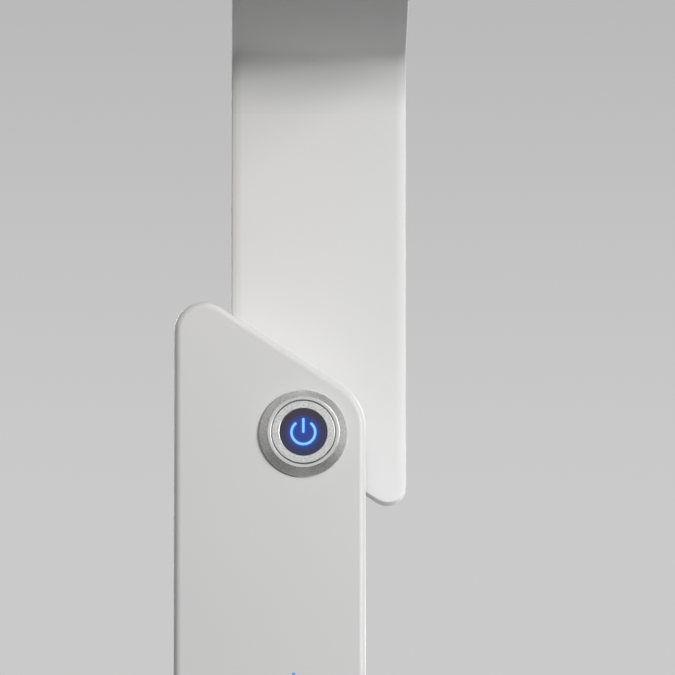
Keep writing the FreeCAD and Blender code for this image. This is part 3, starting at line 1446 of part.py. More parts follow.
fill_sheet()
make_base()
make_foot_bolts()
make_foot_gasket()
make_foot_bracket()
make_foot_screws()
make_post_shell()
make_rear_cover()
make_cover_bars()
make_cover_screws()
make_jack()
make_control_board()
make_cables()
make_cable_clips()
make_switch_seal()
make_switch_bezel()
make_switch_nut()
make_contact_block()
make_button()
make_indicator()
make_hinge_bracket()
make_stop_pins()
make_hinge_bush()
make_hinge_shaft()
make_hinge_washers()
make_hinge_nut()
make_arm_shell()
make_arm_cover()
make_arm_cover_screws()
make_arm_plate()
make_light_source()
make_arm_cable()
write_pieces()
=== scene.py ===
import math

import bmesh
import bpy
from bpy.props import FloatProperty, FloatVectorProperty, IntProperty, PointerProperty
from bpy.types import Operator, Panel, PropertyGroup
from mathutils import Matrix, Vector


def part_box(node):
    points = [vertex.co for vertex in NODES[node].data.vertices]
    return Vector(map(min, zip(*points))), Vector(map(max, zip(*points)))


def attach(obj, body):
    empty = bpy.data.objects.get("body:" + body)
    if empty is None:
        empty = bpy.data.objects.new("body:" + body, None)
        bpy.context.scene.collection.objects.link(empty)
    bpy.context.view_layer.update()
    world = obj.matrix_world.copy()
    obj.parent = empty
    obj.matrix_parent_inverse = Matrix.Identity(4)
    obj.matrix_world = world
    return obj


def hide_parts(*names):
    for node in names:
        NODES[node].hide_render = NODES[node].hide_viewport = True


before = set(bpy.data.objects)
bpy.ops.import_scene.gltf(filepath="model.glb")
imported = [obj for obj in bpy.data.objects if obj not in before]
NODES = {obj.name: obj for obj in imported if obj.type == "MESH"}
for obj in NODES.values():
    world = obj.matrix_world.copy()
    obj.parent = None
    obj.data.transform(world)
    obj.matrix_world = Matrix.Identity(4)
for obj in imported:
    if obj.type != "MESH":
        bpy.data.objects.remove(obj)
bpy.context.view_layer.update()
MM = 0.001

bl_info = {
    "name": "Uplight Floor Lamp",
    "version": (1, 0, 0),
    "blender": (4, 5, 0),
    "location": "3D View > Sidebar > Lamp",
    "description": "Dresses the lamp's frame with its finishes and fine pieces, and lights it",
    "category": "Object",
}

# Push button: the groove round the moving ring, the bezel's rim, and the standby symbol.
GROOVE_RADIUS = 9.2 * MM
GROOVE_REACH = 0.42 * MM
RIM_RADIUS = 10.36 * MM
RIM_EDGE = 0.1 * MM
SYMBOL_RADIUS = 3.4 * MM
SYMBOL_HALF_STROKE = 0.39 * MM
SYMBOL_HALF_GAP = math.radians(42.0)
SYMBOL_DROP = 0.12 * MM
BAR_MIDDLE = 2.0 * MM
BAR_HALF_LENGTH = 1.8 * MM
# Arm: its slanted low end, and the LED board in its head.
ARM_SLANT = math.radians(33.2)
ARM_TIP_RADIUS = 5.4 * MM
HEAD_MIDDLE = 14.2 * MM
LED_ROW = 12 * MM
LED_HALF = 1.5 * MM
LAND_WAVES = 598.0
# Floor: how far it reaches, how far it lies under the mat, and its corners.
FLOOR_REACH = 3.0
FLOOR_DROP = -0.3 * MM
FLOOR_SIDES = 96

# Tints of the light.
PLAIN = (1.0, 1.0, 1.0)
FAINT_WARM = (1.05, 1.0, 0.95)
WARM = (1.12, 1.02, 0.86)
FAINT_COOL = (0.94, 1.02, 1.04)
COOL = (0.85, 0.99, 1.16)
# Soft light that comes from all round the lamp: its degrees to the right of the front and above
# the level, how tightly it is gathered round that direction, its strength and its tint.
LOBES = {
    "level_front": (0, -3, 40, 0.43, PLAIN),
    "upper_front": (0, 6, 12, 0.05, PLAIN),
    "left_front": (-45, 10, 12, 0.2, PLAIN),
    "level_left": (-35, -3, 40, 0.03, PLAIN),
    "right": (80, 0, 12, 0.14, FAINT_COOL),
    "left_high": (-80, 30, 12, 0.11, PLAIN),
    "sky": (0, 90, 0.5, 0.15, PLAIN),
    "left_edge": (-111, -5, 12, 0.72, PLAIN),
    "right_edge": (111, -5, 12, 0.48, PLAIN),
}
# Lamps: place, size, the point that they face, watts and tint.
JOINT = (0.02, 0.06, 1.70)
LAMPS = {
    "front_box": ((0.12, -0.85, 2.05), 0.5, JOINT, 0.58, COOL),
    "upper_left_box": ((-0.20, -0.70, 2.00), 0.35, JOINT, 0.37, WARM),
    "upper_right_box": ((0.34, -0.34, 1.92), 0.2, JOINT, 0.59, FAINT_WARM),
    "near_right_lamp": ((0.78, -0.76, 1.80), 0.2, JOINT, 7.6, PLAIN),
    "left_side_lamp": ((-0.30, 0.14, 1.775), 0.06, JOINT, 0.09, PLAIN),
    "strip_lamp": ((0.085, 0.118, 1.632), 0.03, (0.042, 0.10, 1.663), 0.02, PLAIN),
    "button_lamp": ((0.006, 0.03, 1.786), 0.03, (0.006, 0.05, 1.69), 0.0055, PLAIN),
    "foot_front_left": ((-0.7, -0.9, 1.35), 1.0, (-0.5, -0.7, 0.0), 7.5, PLAIN),
    "foot_front_right": ((0.8, -0.7, 1.35), 1.0, (0.6, -0.5, 0.0), 7.5, PLAIN),
    "foot_back": ((0.0, 1.1, 1.35), 1.0, (0.0, 0.8, 0.0), 10.0, PLAIN),
    "back_left": ((-0.9, 1.6, 2.4), 0.8, (0.0, 0.1, 1.2), 13.0, PLAIN),
    "back_right": ((1.1, 1.4, 2.4), 0.8, (0.0, 0.1, 1.2), 11.0, PLAIN),
}


def length(name, description, default):
    return FloatProperty(name=name, description=description, default=default, unit="LENGTH", precision=5)


def number(name, description, default):
    return FloatProperty(name=name, description=description, default=default)


def colour(name, description, default):
    return FloatVectorProperty(name=name, description=description, default=default, subtype="COLOR",
                               size=3, min=0, max=1)


class LampColours(PropertyGroup):
    """Base colours of the finishes, as linear values."""
    paint: colour("Paint", "White powder coat of post, arm and base", (0.80, 0.80, 0.80))
    zinc: colour("Zinc", "Zinc-plated steel inside the lamp", (0.50, 0.51, 0.53))
    bezel: colour("Bezel", "Turned stainless steel of the push button", (0.92, 0.92, 0.905))
    brass: colour("Brass", "Bush, nuts, spacers and terminals", (0.72, 0.52, 0.22))
    aluminium: colour("Aluminium", "Extruded plate under the light source", (0.62, 0.63, 0.64))
    copper: colour("Copper", "Enamelled wire of the choke", (0.62, 0.24, 0.08))
    lens: colour("Lens", "Smoked lens of the push button", (0.012, 0.012, 0.03))
    glow: colour("Glow", "Light of the symbol and the indicator", (0.22, 0.58, 1.0))
    rubber: colour("Rubber", "Gasket, seal and cable jackets", (0.02, 0.02, 0.021))
    foam: colour("Foam", "Mat under the base", (0.014, 0.014, 0.015))
    black: colour("Black plastic", "Supply socket, contact block and washer", (0.018, 0.018, 0.02))
    natural: colour("Natural plastic", "Clips, plugs and connectors", (0.70, 0.69, 0.65))
    resist: colour("Resist", "Green lacquer of the circuit boards", (0.012, 0.09, 0.035))
    opal: colour("Opal", "Diffuser over the light source", (0.84, 0.83, 0.80))
    phosphor: colour("Phosphor", "Yellow face of the light source's LEDs", (0.78, 0.60, 0.10))


class LampSizes(PropertyGroup):
    """Sizes of the fine pieces that the scene builds."""
    spring_wire: length("Spring wire", "Diameter of the return spring's wire", 0.8 * MM)
    spring_turns: IntProperty(name="Spring turns", description="Turns of the return spring", default=5)
    choke_wire: length("Choke wire", "Diameter of the choke's copper wire", 0.9 * MM)
    choke_turns: IntProperty(name="Choke turns", description="Turns of wire on the choke", default=8)
    led_well: length("LED well", "Radius of the opening in an LED's package", 1.2 * MM)
    lead_width: length("Lead width", "Width of a chip's legs", 0.42 * MM)
    crown: length("Crown", "Strip along the arm's edges where the face falls away", 3.2 * MM)
    crown_lean: number("Crown lean", "Slope of that strip at the very edge", 0.34)


class StudioSettings(PropertyGroup):
    """Camera and light of the picture."""
    lens: number("Lens", "Focal length in millimetres on a 36 mm sensor", 929.7)
    distance: length("Distance", "From the camera to the front of the post", 5.0)
    pitch: number("Pitch", "Degrees by which the camera looks up", 10.0)
    yaw: number("Yaw", "Degrees by which the camera looks to the right", 0.35)
    aim: FloatVectorProperty(name="Aim", description="Point in the middle of the picture",
                             default=(0.0194, 0.055, 1.7030), subtype="TRANSLATION", unit="LENGTH")
    backdrop_low: colour("Backdrop, low", "Backdrop behind the post", (0.592, 0.592, 0.592))
    backdrop_high: colour("Backdrop, high", "Backdrop over the joint", (0.427, 0.427, 0.427))


# Values and materials

class Wire:
    """A value in a finish. Python's operators on it add Math nodes."""

    def __init__(self, finish, socket):
        self.finish = finish
        self.socket = socket

    def maths(self, operation, *numbers):
        return self.finish.node("Math", {"operation": operation}, dict(enumerate(numbers)))

    def __add__(self, other):
        return self.maths("ADD", self, other)

    __radd__ = __add__

    def __sub__(self, other):
        return self.maths("SUBTRACT", self, other)

    def __rsub__(self, other):
        return self.maths("SUBTRACT", other, self)

    def __mul__(self, other):
        return self.maths("MULTIPLY", self, other)

    __rmul__ = __mul__

    def __truediv__(self, other):
        return self.maths("DIVIDE", self, other)

    def __pow__(self, other):
        return self.maths("POWER", self, other)

    def __abs__(self):
        return self.maths("ABSOLUTE", self)

    def least(self, other):
        return self.maths("MINIMUM", self, other)

    def most(self, other):
        return self.maths("MAXIMUM", self, other)

    def wave(self):
        return self.maths("SINE", self)

    def angle_from(self, up):
        """The angle between this length and the one at right angles to it, in radians."""
        return self.maths("ARCTAN2", self, up)

    def fade(self, reach):
        """1 at zero, falling by half and half again with distance."""
        return self.maths("EXPONENT", self * (-1.0 / reach))


class Finish:
    """A material under construction: node() adds a node, surface() ends it with the shader."""

    def __init__(self, name, owner=None):
        self.material = owner or bpy.data.materials.new(name)
        self.material.use_nodes = True
        self.tree = self.material.node_tree
        self.tree.nodes.clear()

    def node(self, kind, settings=None, sockets=None, out=0):
        """Adds a node: its settings come first, then the values or links of its sockets."""
        made = self.tree.nodes.new("ShaderNode" + kind)
        for key, setting in (settings or {}).items():
            setattr(made, key, setting)
        for key, given in (sockets or {}).items():
            self.feed(made.inputs[key], given)
        return Wire(self, made.outputs[out]) if made.outputs else None

    def feed(self, socket, given):
        if isinstance(given, Wire):
            self.tree.links.new(given.socket, socket)
        elif socket.type == "RGBA":
            socket.default_value = (*given, 1)
        else:
            socket.default_value = given

    def place(self):
        """The point on the piece, in metres in the lamp's own frame."""
        return self.node("TexCoord", out="Object")

    def axes(self, point=None):
        return [self.node("SeparateXYZ", sockets={0: point or self.place()}, out=axis) for axis in "XYZ"]

    def stretched(self, scale):
        """The point with each axis on its own scale, for grain that runs one way."""
        return self.node("Mapping", sockets={"Vector": self.place(), "Scale": scale})

    def noise(self, scale, detail=2.0, roughness=0.5, point=None):
        return self.node("TexNoise", sockets={"Vector": point or self.place(), "Scale": scale,
                                              "Detail": detail, "Roughness": roughness})

    def lines(self, value, scale, detail=3.0):
        """Fine uneven lines across one value, such as turning marks across a radius."""
        return self.node("TexNoise", {"noise_dimensions": "1D"},
                         {"W": value, "Scale": scale, "Detail": detail, "Roughness": 0.7})

    def cells(self, scale, feature="F1"):
        return self.node("TexVoronoi", {"feature": feature}, {"Vector": self.place(), "Scale": scale})

    def mix(self, first, second, share):
        """The first colour, turning into the second as share goes from 0 to 1."""
        return self.node("Mix", {"data_type": "RGBA"}, {0: share, 6: first, 7: second}, out=2)

    def span(self, given, low, high, start=0.0, end=1.0):
        """The value moved from low..high to start..end, and held there."""
        return self.node("MapRange", {"interpolation_type": "SMOOTHSTEP"},
                         {"Value": given, "From Min": low, "From Max": high,
                          "To Min": start, "To Max": end})

    def crown(self, inside, width, lean):
        """Height of a face that falls away to its edge: inside is the distance from the edge."""
        near = (1.0 - inside / width).most(0.0).least(1.0)
        return near * near * (-0.5 * width * lean)

    def relief(self, height):
        """A normal from a height in metres."""
        return self.node("Bump", sockets={"Height": height, "Distance": 1.0, "Strength": 1.0})

    def surface(self, **sockets):
        shader = self.node("BsdfPrincipled", sockets={
            name.replace("_", " "): given for name, given in sockets.items()})
        self.node("OutputMaterial", sockets={"Surface": shader})
        return self.material


def shade(tone, share):
    return tuple(channel * share for channel in tone)


# Finishes

def powder_coat(name, tone, falls=None):
    """Satin white powder coat: a fine orange peel, a faint cloudiness and small pits. falls gives
    the height of the face itself where it falls away to its edges."""
    finish = Finish(name)
    cloud = finish.noise(9.0, 3.0)
    peel = finish.noise(620.0, 2.0)
    grain = finish.noise(3200.0, 1.0)
    specks = finish.span(grain, 0.66, 0.80)
    tint = finish.mix(shade(tone, 0.985), tone, finish.span(cloud, 0.35, 0.65))
    height = peel * 6e-6 + grain * 1.5e-6
    if falls:
        height = height + falls(finish)
    return finish.surface(
        Base_Color=finish.mix(tint, shade(tone, 0.90), specks * 0.5),
        Roughness=0.40 + 0.08 * finish.span(cloud, 0.3, 0.7) + 0.05 * peel,
        Normal=finish.relief(height),
        Specular_IOR_Level=0.45)


def arm_falls(finish):
    """The arm's faces fall away a little to their long edges and to the slanted low end."""
    sizes = lamp_sizes()
    low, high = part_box("arm_shell")
    x, _, z = finish.axes()
    tip = ARM_TIP_RADIUS
    along = (x - (high.x - tip)) * -math.sin(ARM_SLANT) + (z - (low.z + tip)) * -math.cos(ARM_SLANT)
    edges = (x - low.x).least(high.x - x)
    return (finish.crown(edges, sizes.crown, sizes.crown_lean)
            + finish.crown(tip - along, sizes.crown, 0.5 * sizes.crown_lean))


def lacquered_screw(name, tone):
    """Screw heads lacquered white, with the bare steel showing where the key has worn them."""
    finish = Finish(name)
    worn = finish.span(finish.noise(1400.0, 3.0) + 0.25 * finish.noise(260.0), 0.78, 0.86)
    return finish.surface(
        Base_Color=finish.mix(tone, (0.42, 0.42, 0.43), worn),
        Metallic=worn,
        Roughness=0.38 + 0.10 * finish.noise(900.0),
        Normal=finish.relief(worn * -8e-6))


def turned_steel(name, tone, centre, roughness, depth=2.5e-6):
    """Satin stainless steel with fine turning marks round the push button's axis, a blotchy grain,
    a duller rim, and painted shade darkening a band on either side of the groove round the moving ring."""
    finish = Finish(name)
    x, y, z = finish.axes()
    radius = ((x - centre.x) ** 2.0 + (z - centre.z) ** 2.0) ** 0.5
    fine = finish.lines(radius + y * 0.7, 14000.0)
    broad = finish.lines(radius + y * 0.7, 2600.0, 1.0)
    smear = finish.noise(220.0, 3.0)
    blotch = finish.span(finish.noise(1700.0, 2.0), 0.30, 0.66)
    uneven = finish.span(0.4 * fine + 0.3 * broad + 0.3 * blotch, 0.34, 0.66)
    marks = finish.mix(shade(tone, 0.80), tone, uneven)
    rim = (finish.span(radius, GROOVE_RADIUS, GROOVE_RADIUS + GROOVE_REACH)
           * finish.span(radius, RIM_RADIUS - RIM_EDGE, RIM_RADIUS + RIM_EDGE, 1.0, 0.0))
    # Painted shade: the colour darkens in a band on either side of the groove round the moving ring.
    groove_shade = (1.0 - abs(radius - GROOVE_RADIUS) / GROOVE_REACH).most(0.0)
    return finish.surface(
        Base_Color=finish.mix(finish.mix(marks, shade(tone, 0.78), rim), shade(tone, 0.75), groove_shade),
        Metallic=1.0,
        Roughness=roughness + 0.08 * broad + 0.06 * smear,
        Normal=finish.relief(fine * depth + broad * depth))


def zinc_plate(name, tone, roughness=0.32):
    """Zinc-plated steel: spangle, rolling marks along the sheet, and dull patches."""
    finish = Finish(name)
    spangle = finish.cells(420.0)
    patches = finish.noise(110.0, 4.0)
    marks = finish.noise(60.0, 3.0, point=finish.stretched((40.0, 40.0, 1.5)))
    return finish.surface(
        Base_Color=finish.mix(shade(tone, 0.80), tone, finish.span(patches + 0.2 * spangle, 0.35, 0.80)),
        Metallic=1.0,
        Roughness=roughness + 0.14 * patches + 0.05 * marks,
        Normal=finish.relief(marks * 4e-6 + spangle * 1e-6))


def turned_brass(name, tone):
    """Turned brass with cutting marks and a little tarnish."""
    finish = Finish(name)
    x, y, z = finish.axes()
    cuts = finish.lines(y + 0.3 * x + 0.2 * z, 5200.0)
    tarnish = finish.span(finish.noise(180.0, 4.0), 0.50, 0.75)
    return finish.surface(
        Base_Color=finish.mix(tone, (0.36, 0.22, 0.09), tarnish * 0.7),
        Metallic=1.0,
        Roughness=0.24 + 0.18 * tarnish + 0.06 * cuts,
        Normal=finish.relief(cuts * 3e-6))


def drawn_wire(name, tone, roughness=0.30):
    """Spring wire or tinned wire, with drawing marks and a thin film of oil."""
    finish = Finish(name)
    marks = finish.noise(5200.0, 2.0)
    film = finish.noise(600.0, 2.0)
    return finish.surface(
        Base_Color=finish.mix(shade(tone, 0.78), tone, marks),
        Metallic=1.0,
        Roughness=roughness + 0.12 * film,
        Normal=finish.relief(marks * 1.5e-6))


def extruded_aluminium(name, tone):
    """Bare extruded aluminium: long die lines along the head."""
    finish = Finish(name)
    die = finish.noise(60.0, 4.0, point=finish.stretched((60.0, 0.8, 60.0)))
    handling = finish.span(finish.noise(90.0, 4.0), 0.55, 0.75)
    return finish.surface(
        Base_Color=finish.mix(shade(tone, 0.86), tone, die),
        Metallic=1.0,
        Roughness=0.34 + 0.10 * die + 0.10 * handling,
        Normal=finish.relief(die * 5e-6))


def moulded(name, tone, roughness=0.46, grain=2400.0, depth=5e-6):
    """Moulded plastic with a spark-eroded grain and faint flow marks."""
    finish = Finish(name)
    skin = finish.noise(grain, 2.0)
    flow = finish.noise(70.0, 2.0)
    rubbed = finish.span(finish.noise(320.0, 3.0), 0.60, 0.78)
    return finish.surface(
        Base_Color=finish.mix(finish.mix(shade(tone, 0.88), tone, flow), shade(tone, 1.2), rubbed * 0.3),
        Roughness=roughness + 0.10 * skin - 0.08 * rubbed,
        Normal=finish.relief(skin * depth))


def rubber_skin(name, tone, roughness=0.62):
    """Matt rubber with a fine grain and a dusty bloom."""
    finish = Finish(name)
    skin = finish.noise(3400.0, 3.0)
    bloom = finish.span(finish.noise(60.0, 4.0), 0.52, 0.80)
    return finish.surface(
        Base_Color=finish.mix(tone, (0.075, 0.074, 0.072), bloom * 0.35),
        Roughness=roughness + 0.12 * skin,
        Normal=finish.relief(skin * 8e-6),
        Specular_IOR_Level=0.3)


def cell_foam(name, tone):
    """Closed-cell foam: small round pits between thin walls, with painted shade darkening the pits and
    the walls painted lighter.
    """
    finish = Finish(name)
    pits = finish.cells(1500.0)
    large = finish.cells(520.0)
    # Painted shade: the colour is darker in the pits and lighter on the walls between them.
    return finish.surface(
        Base_Color=finish.mix(shade(tone, 0.6), shade(tone, 1.8), finish.span(pits, 0.1, 0.7)),
        Roughness=0.86 + 0.08 * finish.noise(900.0),
        Normal=finish.relief(pits * 1.6e-4 + large * 6e-5),
        Specular_IOR_Level=0.2)


def board_resist(name, tone, track):
    """Lacquered circuit board: copper tracks show through as a lighter colour and stand a little
    proud, with tinned vias at the joints between them."""
    finish = Finish(name)
    x, _, z = finish.axes()
    weave = (x * 9000.0).wave() * (z * 9000.0).wave()
    across = finish.span((x * 2400.0 + 2.0 * finish.noise(55.0)).wave(), 0.62, 0.80)
    region = finish.span(finish.noise(62.0, 0.0), 0.49, 0.51)
    along = finish.span((z * 2000.0 + 2.0 * finish.noise(40.0)).wave(), 0.66, 0.84)
    tracks = across * region + along * (1.0 - region)
    vias = finish.span(finish.cells(210.0), 0.10, 0.12, 1.0, 0.0)
    return finish.surface(
        Base_Color=finish.mix(finish.mix(tone, track, tracks * 0.8), (0.50, 0.51, 0.50), vias * 0.8),
        Roughness=0.30 + 0.06 * finish.noise(700.0),
        Normal=finish.relief(tracks * 2.5e-5 + weave * 1.5e-6 + vias * 2e-5),
        Coat_Weight=0.2)


def white_resist(name, tone):
    """White lacquer on an aluminium board, with the copper lands faintly raised."""
    finish = Finish(name)
    x, y, _ = finish.axes()
    from_row = abs(abs(x - HEAD_MIDDLE) - LED_ROW)
    lands = (finish.span((y * LAND_WAVES).wave(), -0.10, 0.10)
             * finish.span(from_row, 4.0 * MM, 4.2 * MM, 1.0, 0.0))
    return finish.surface(
        Base_Color=finish.mix(tone, shade(tone, 0.93), lands),
        Roughness=0.36 + 0.08 * finish.noise(800.0),
        Normal=finish.relief(lands * 3e-5 + finish.noise(2600.0) * 2e-6))


def opal_sheet(name, tone):
    """Opal acrylic: even, slightly cloudy inside, satin outside."""
    finish = Finish(name)
    milk = finish.noise(35.0, 3.0)
    skin = finish.noise(2800.0, 1.0)
    return finish.surface(
        Base_Color=finish.mix(shade(tone, 0.97), tone, milk),
        Roughness=0.30 + 0.10 * skin,
        Subsurface_Weight=0.35,
        Subsurface_Radius=(0.004, 0.004, 0.0035),
        Normal=finish.relief(skin * 1.5e-6),
        Specular_IOR_Level=0.5)


def clear_moulding(name, tone):
    """Clear polycarbonate with a faint bloom from the mould."""
    finish = Finish(name)
    bloom = finish.noise(900.0, 2.0)
    return finish.surface(
        Base_Color=finish.mix(shade(tone, 0.94), tone, bloom),
        Roughness=0.10 + 0.12 * bloom,
        Transmission_Weight=0.8,
        IOR=1.58)


def phosphor_face(name, tone):
    """Phosphor in silicone: grains of yellow in a clear, slightly domed fill."""
    finish = Finish(name)
    grains = finish.cells(9000.0)
    return finish.surface(
        Base_Color=finish.mix(shade(tone, 0.86), tone, grains),
        Roughness=0.22 + 0.10 * grains,
        Normal=finish.relief(grains * 3e-6),
        Coat_Weight=0.4)


def from_symbol(finish, centre):
    """Distance of a point on the button's front from the middle line of the standby symbol, from the
    symbol's middle, and its height over that middle."""
    x, _, z = finish.axes()
    across = x - centre.x
    up = z - centre.z
    radius = (across ** 2.0 + up ** 2.0) ** 0.5
    past_end = (SYMBOL_HALF_GAP - abs(across.angle_from(up))).most(0.0) * SYMBOL_RADIUS
    ring = ((radius - SYMBOL_RADIUS) ** 2.0 + past_end ** 2.0) ** 0.5
    beyond = (abs(up - BAR_MIDDLE) - BAR_HALF_LENGTH).most(0.0)
    bar = (across ** 2.0 + beyond ** 2.0) ** 0.5
    return ring.least(bar), radius, up


def smoked_lens(name, tone, centre):
    """Dark lens, lit blue from inside: brightest beside the symbol, dim inside its ring, and
    nearly black at the rim."""
    finish = Finish(name)
    line, radius, up = from_symbol(finish, centre)
    halo = (line - SYMBOL_HALF_STROKE).most(0.0).fade(0.22 * MM)
    inner = finish.span(radius, 3.4 * MM, 5.8 * MM, 1.0, 0.0)
    low = finish.span(up, -6.0 * MM, 4.0 * MM, 1.0, 0.0)
    cloud = finish.noise(1300.0, 2.0)
    dim = finish.mix((0.040, 0.032, 0.036), (0.034, 0.034, 0.078), low)
    bloom = finish.mix(dim, (0.022, 0.050, 0.27), inner * (0.8 + 0.4 * cloud))
    return finish.surface(
        Base_Color=finish.mix(tone, shade(tone, 0.8), finish.noise(900.0)),
        Roughness=0.22 + 0.05 * cloud,
        Specular_IOR_Level=0.25,
        Emission_Color=finish.mix(bloom, (0.01, 0.10, 0.66), halo),
        Emission_Strength=1.0)


def lit_symbol(name, centre):
    """Translucent symbol, lit from behind: pale in the middle of the stroke, deep blue at its edge."""
    finish = Finish(name)
    line, _, _ = from_symbol(finish, centre)
    core = finish.span(line, 0.08 * MM, SYMBOL_HALF_STROKE, 1.0, 0.0)
    uneven = finish.noise(420.0, 2.0)
    pale = finish.mix((0.15, 0.62, 0.93), (0.24, 0.70, 0.93), uneven)
    return finish.surface(
        Base_Color=finish.mix((0.10, 0.20, 0.40), (0.14, 0.26, 0.46), uneven),
        Roughness=0.30,
        Emission_Color=finish.mix((0.05, 0.30, 1.0), pale, core),
        Emission_Strength=0.86)


def lit_mark(name, tone, strength):
    """Light pipe or LED with blue light behind it."""
    finish = Finish(name)
    cloud = finish.noise(700.0)
    return finish.surface(
        Base_Color=finish.mix(shade(tone, 0.5), shade(tone, 0.62), cloud),
        Roughness=0.35,
        Emission_Color=finish.mix(shade(tone, 0.9), tone, cloud),
        Emission_Strength=strength)


def set_finish(material, *names):
    """Gives the finish to CAD nodes by name."""
    for name in names:
        mesh = NODES[name].data
        mesh.materials.clear()
        mesh.materials.append(material)


def lamp_colours():
    return bpy.context.scene.lamp_colours


def lamp_sizes():
    return bpy.context.scene.lamp_sizes


def studio():
    return bpy.context.scene.lamp_studio


def middle_of(node):
    low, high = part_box(node)
    return (low + high) / 2


# Meshes

def circle(radius, sides):
    """Points round a circle, as pairs."""
    turn = math.tau / sides
    return [(radius * math.cos(k * turn), radius * math.sin(k * turn)) for k in range(sides)]


def add_skin(mesh, rings, material=0):
    """Adds a closed form over rings of points. A ring of one point is a tip."""
    rows = [[mesh.verts.new(point) for point in ring] for ring in rings]
    faces = []
    for first, second in zip(rows, rows[1:]):
        for k in range(max(len(first), len(second))):
            corners = (first[k % len(first)], first[(k + 1) % len(first)],
                       second[(k + 1) % len(second)], second[k % len(second)])
            faces.append(mesh.faces.new(list(dict.fromkeys(corners))))
    for row in (rows[0], rows[-1]):
        if len(row) > 2:
            faces.append(mesh.faces.new(row))
    for face in faces:
        face.material_index = material


def add_turned(mesh, profile, foot, sides=40, material=0):
    """Adds a form turned about the line through foot along +Y, from pairs of radius and height."""
    rings = []
    for radius, height in profile:
        spots = circle(radius, sides) if radius > 0 else [(0, 0)]
        rings.append([foot + Vector((a, height, b)) for a, b in spots])
    add_skin(mesh, rings, material)


def add_swept(mesh, path, section, across=None, material=0):
    """Adds a bar of the given section along the points. across keeps the section from turning."""
    rings = []
    side = across or (path[1] - path[0]).orthogonal()
    for index, point in enumerate(path):
        ahead = (path[min(index + 1, len(path) - 1)] - path[max(index - 1, 0)]).normalized()
        side = across or (side - ahead * side.dot(ahead)).normalized()
        up = ahead.cross(side)
        rings.append([point + a * side + b * up for a, b in section])
    add_skin(mesh, rings, material)


def add_block(mesh, low, high, bevel=0.0, material=0):
    """Adds a block between two corners, with its edges bevelled."""
    low, high = Vector(low), Vector(high)
    place = Matrix.Translation((low + high) / 2) @ Matrix.Diagonal((*(high - low), 1))
    corners = bmesh.ops.create_cube(mesh, size=1, matrix=place)["verts"]
    faces = {face for corner in corners for face in corner.link_faces}
    for face in faces:
        face.material_index = material
    if bevel:
        edges = {edge for corner in corners for edge in corner.link_edges}
        bmesh.ops.bevel(mesh, geom=list(edges), offset=bevel, segments=2, profile=0.5, affect="EDGES",
                        clamp_overlap=True, material=material)


def rectangle(width, thickness):
    a, b = width / 2, thickness / 2
    return [(-a, -b), (a, -b), (a, b), (-a, b)]


def new_piece(name, build, body, slot, node, *materials):
    """Makes a piece from a function that fills its mesh, and puts it in the place of a CAD node."""
    shape = bmesh.new()
    build(shape)
    bmesh.ops.recalc_face_normals(shape, faces=shape.faces)
    mesh = bpy.data.meshes.new(name)
    shape.to_mesh(mesh)
    shape.free()
    mesh.shade_smooth()
    mesh.set_sharp_from_angle(angle=math.radians(35))
    for material in materials:
        mesh.materials.append(material)
    piece = bpy.data.objects.new(name, mesh)
    bpy.context.scene.collection.objects.link(piece)
    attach(piece, body)
    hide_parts(node)
    return piece


# Steps

class LAMP_OT_base(Operator):
    """Finishes the base plate, its mat, and what holds the post on it"""
    bl_idname = "lamp.base"
    bl_label = "Base"

    def execute(self, context):
        tones = lamp_colours()
        set_finish(powder_coat("base_powder_coat", tones.paint), "base_plate")
        set_finish(cell_foam("mat_foam", tones.foam), "base_mat")
        set_finish(rubber_skin("gasket_rubber", tones.rubber), "foot_gasket")
        set_finish(zinc_plate("bracket_zinc", tones.zinc), "foot_bracket", "foot_bolts")
        set_finish(lacquered_screw("foot_screw_lacquer", tones.paint), "foot_screws")
        return {"FINISHED"}


class LAMP_OT_post(Operator):
    """Finishes the post's shell, its rear cover, and the bars and screws that hold the cover"""
    bl_idname = "lamp.post"
    bl_label = "Post"

    def execute(self, context):
        tones = lamp_colours()
        set_finish(powder_coat("post_powder_coat", tones.paint), "post_shell", "post_rear_cover")
        set_finish(zinc_plate("bar_zinc", tones.zinc), "cover_bars")
        set_finish(lacquered_screw("cover_screw_lacquer", tones.paint),
                   "cover_screws", "arm_cover_screws")
        return {"FINISHED"}


class LAMP_OT_push_button(Operator):
    """Finishes the push button: bezel, moving ring, lens, symbol, and its works in the post"""
    bl_idname = "lamp.push_button"
    bl_label = "Push button"

    def execute(self, context):
        tones = lamp_colours()
        centre = middle_of("button_lens")
        symbol = centre - Vector((0, 0, SYMBOL_DROP))
        set_finish(turned_steel("bezel_steel", tones.bezel, centre, 0.38), "switch_bezel")
        ring = shade(tones.bezel, 0.90)
        set_finish(turned_steel("ring_steel", ring, centre, 0.36, 5e-6), "button_ring")
        set_finish(smoked_lens("smoked_lens", tones.lens, symbol), "button_lens")
        set_finish(lit_symbol("lit_symbol", symbol), "power_symbol")
        set_finish(clear_moulding("clear_polycarbonate", (0.80, 0.84, 0.88)), "button_stem")
        set_finish(rubber_skin("seal_rubber", tones.rubber), "switch_seal")
        set_finish(turned_brass("switch_brass", tones.brass), "switch_nut", "switch_terminals")
        set_finish(moulded("switch_plastic", tones.black), "contact_block")
        set_finish(moulded("plug_plastic", tones.natural), "switch_plug")
        set_finish(lit_mark("switch_light", tones.glow, 1.0), "switch_led")
        return {"FINISHED"}


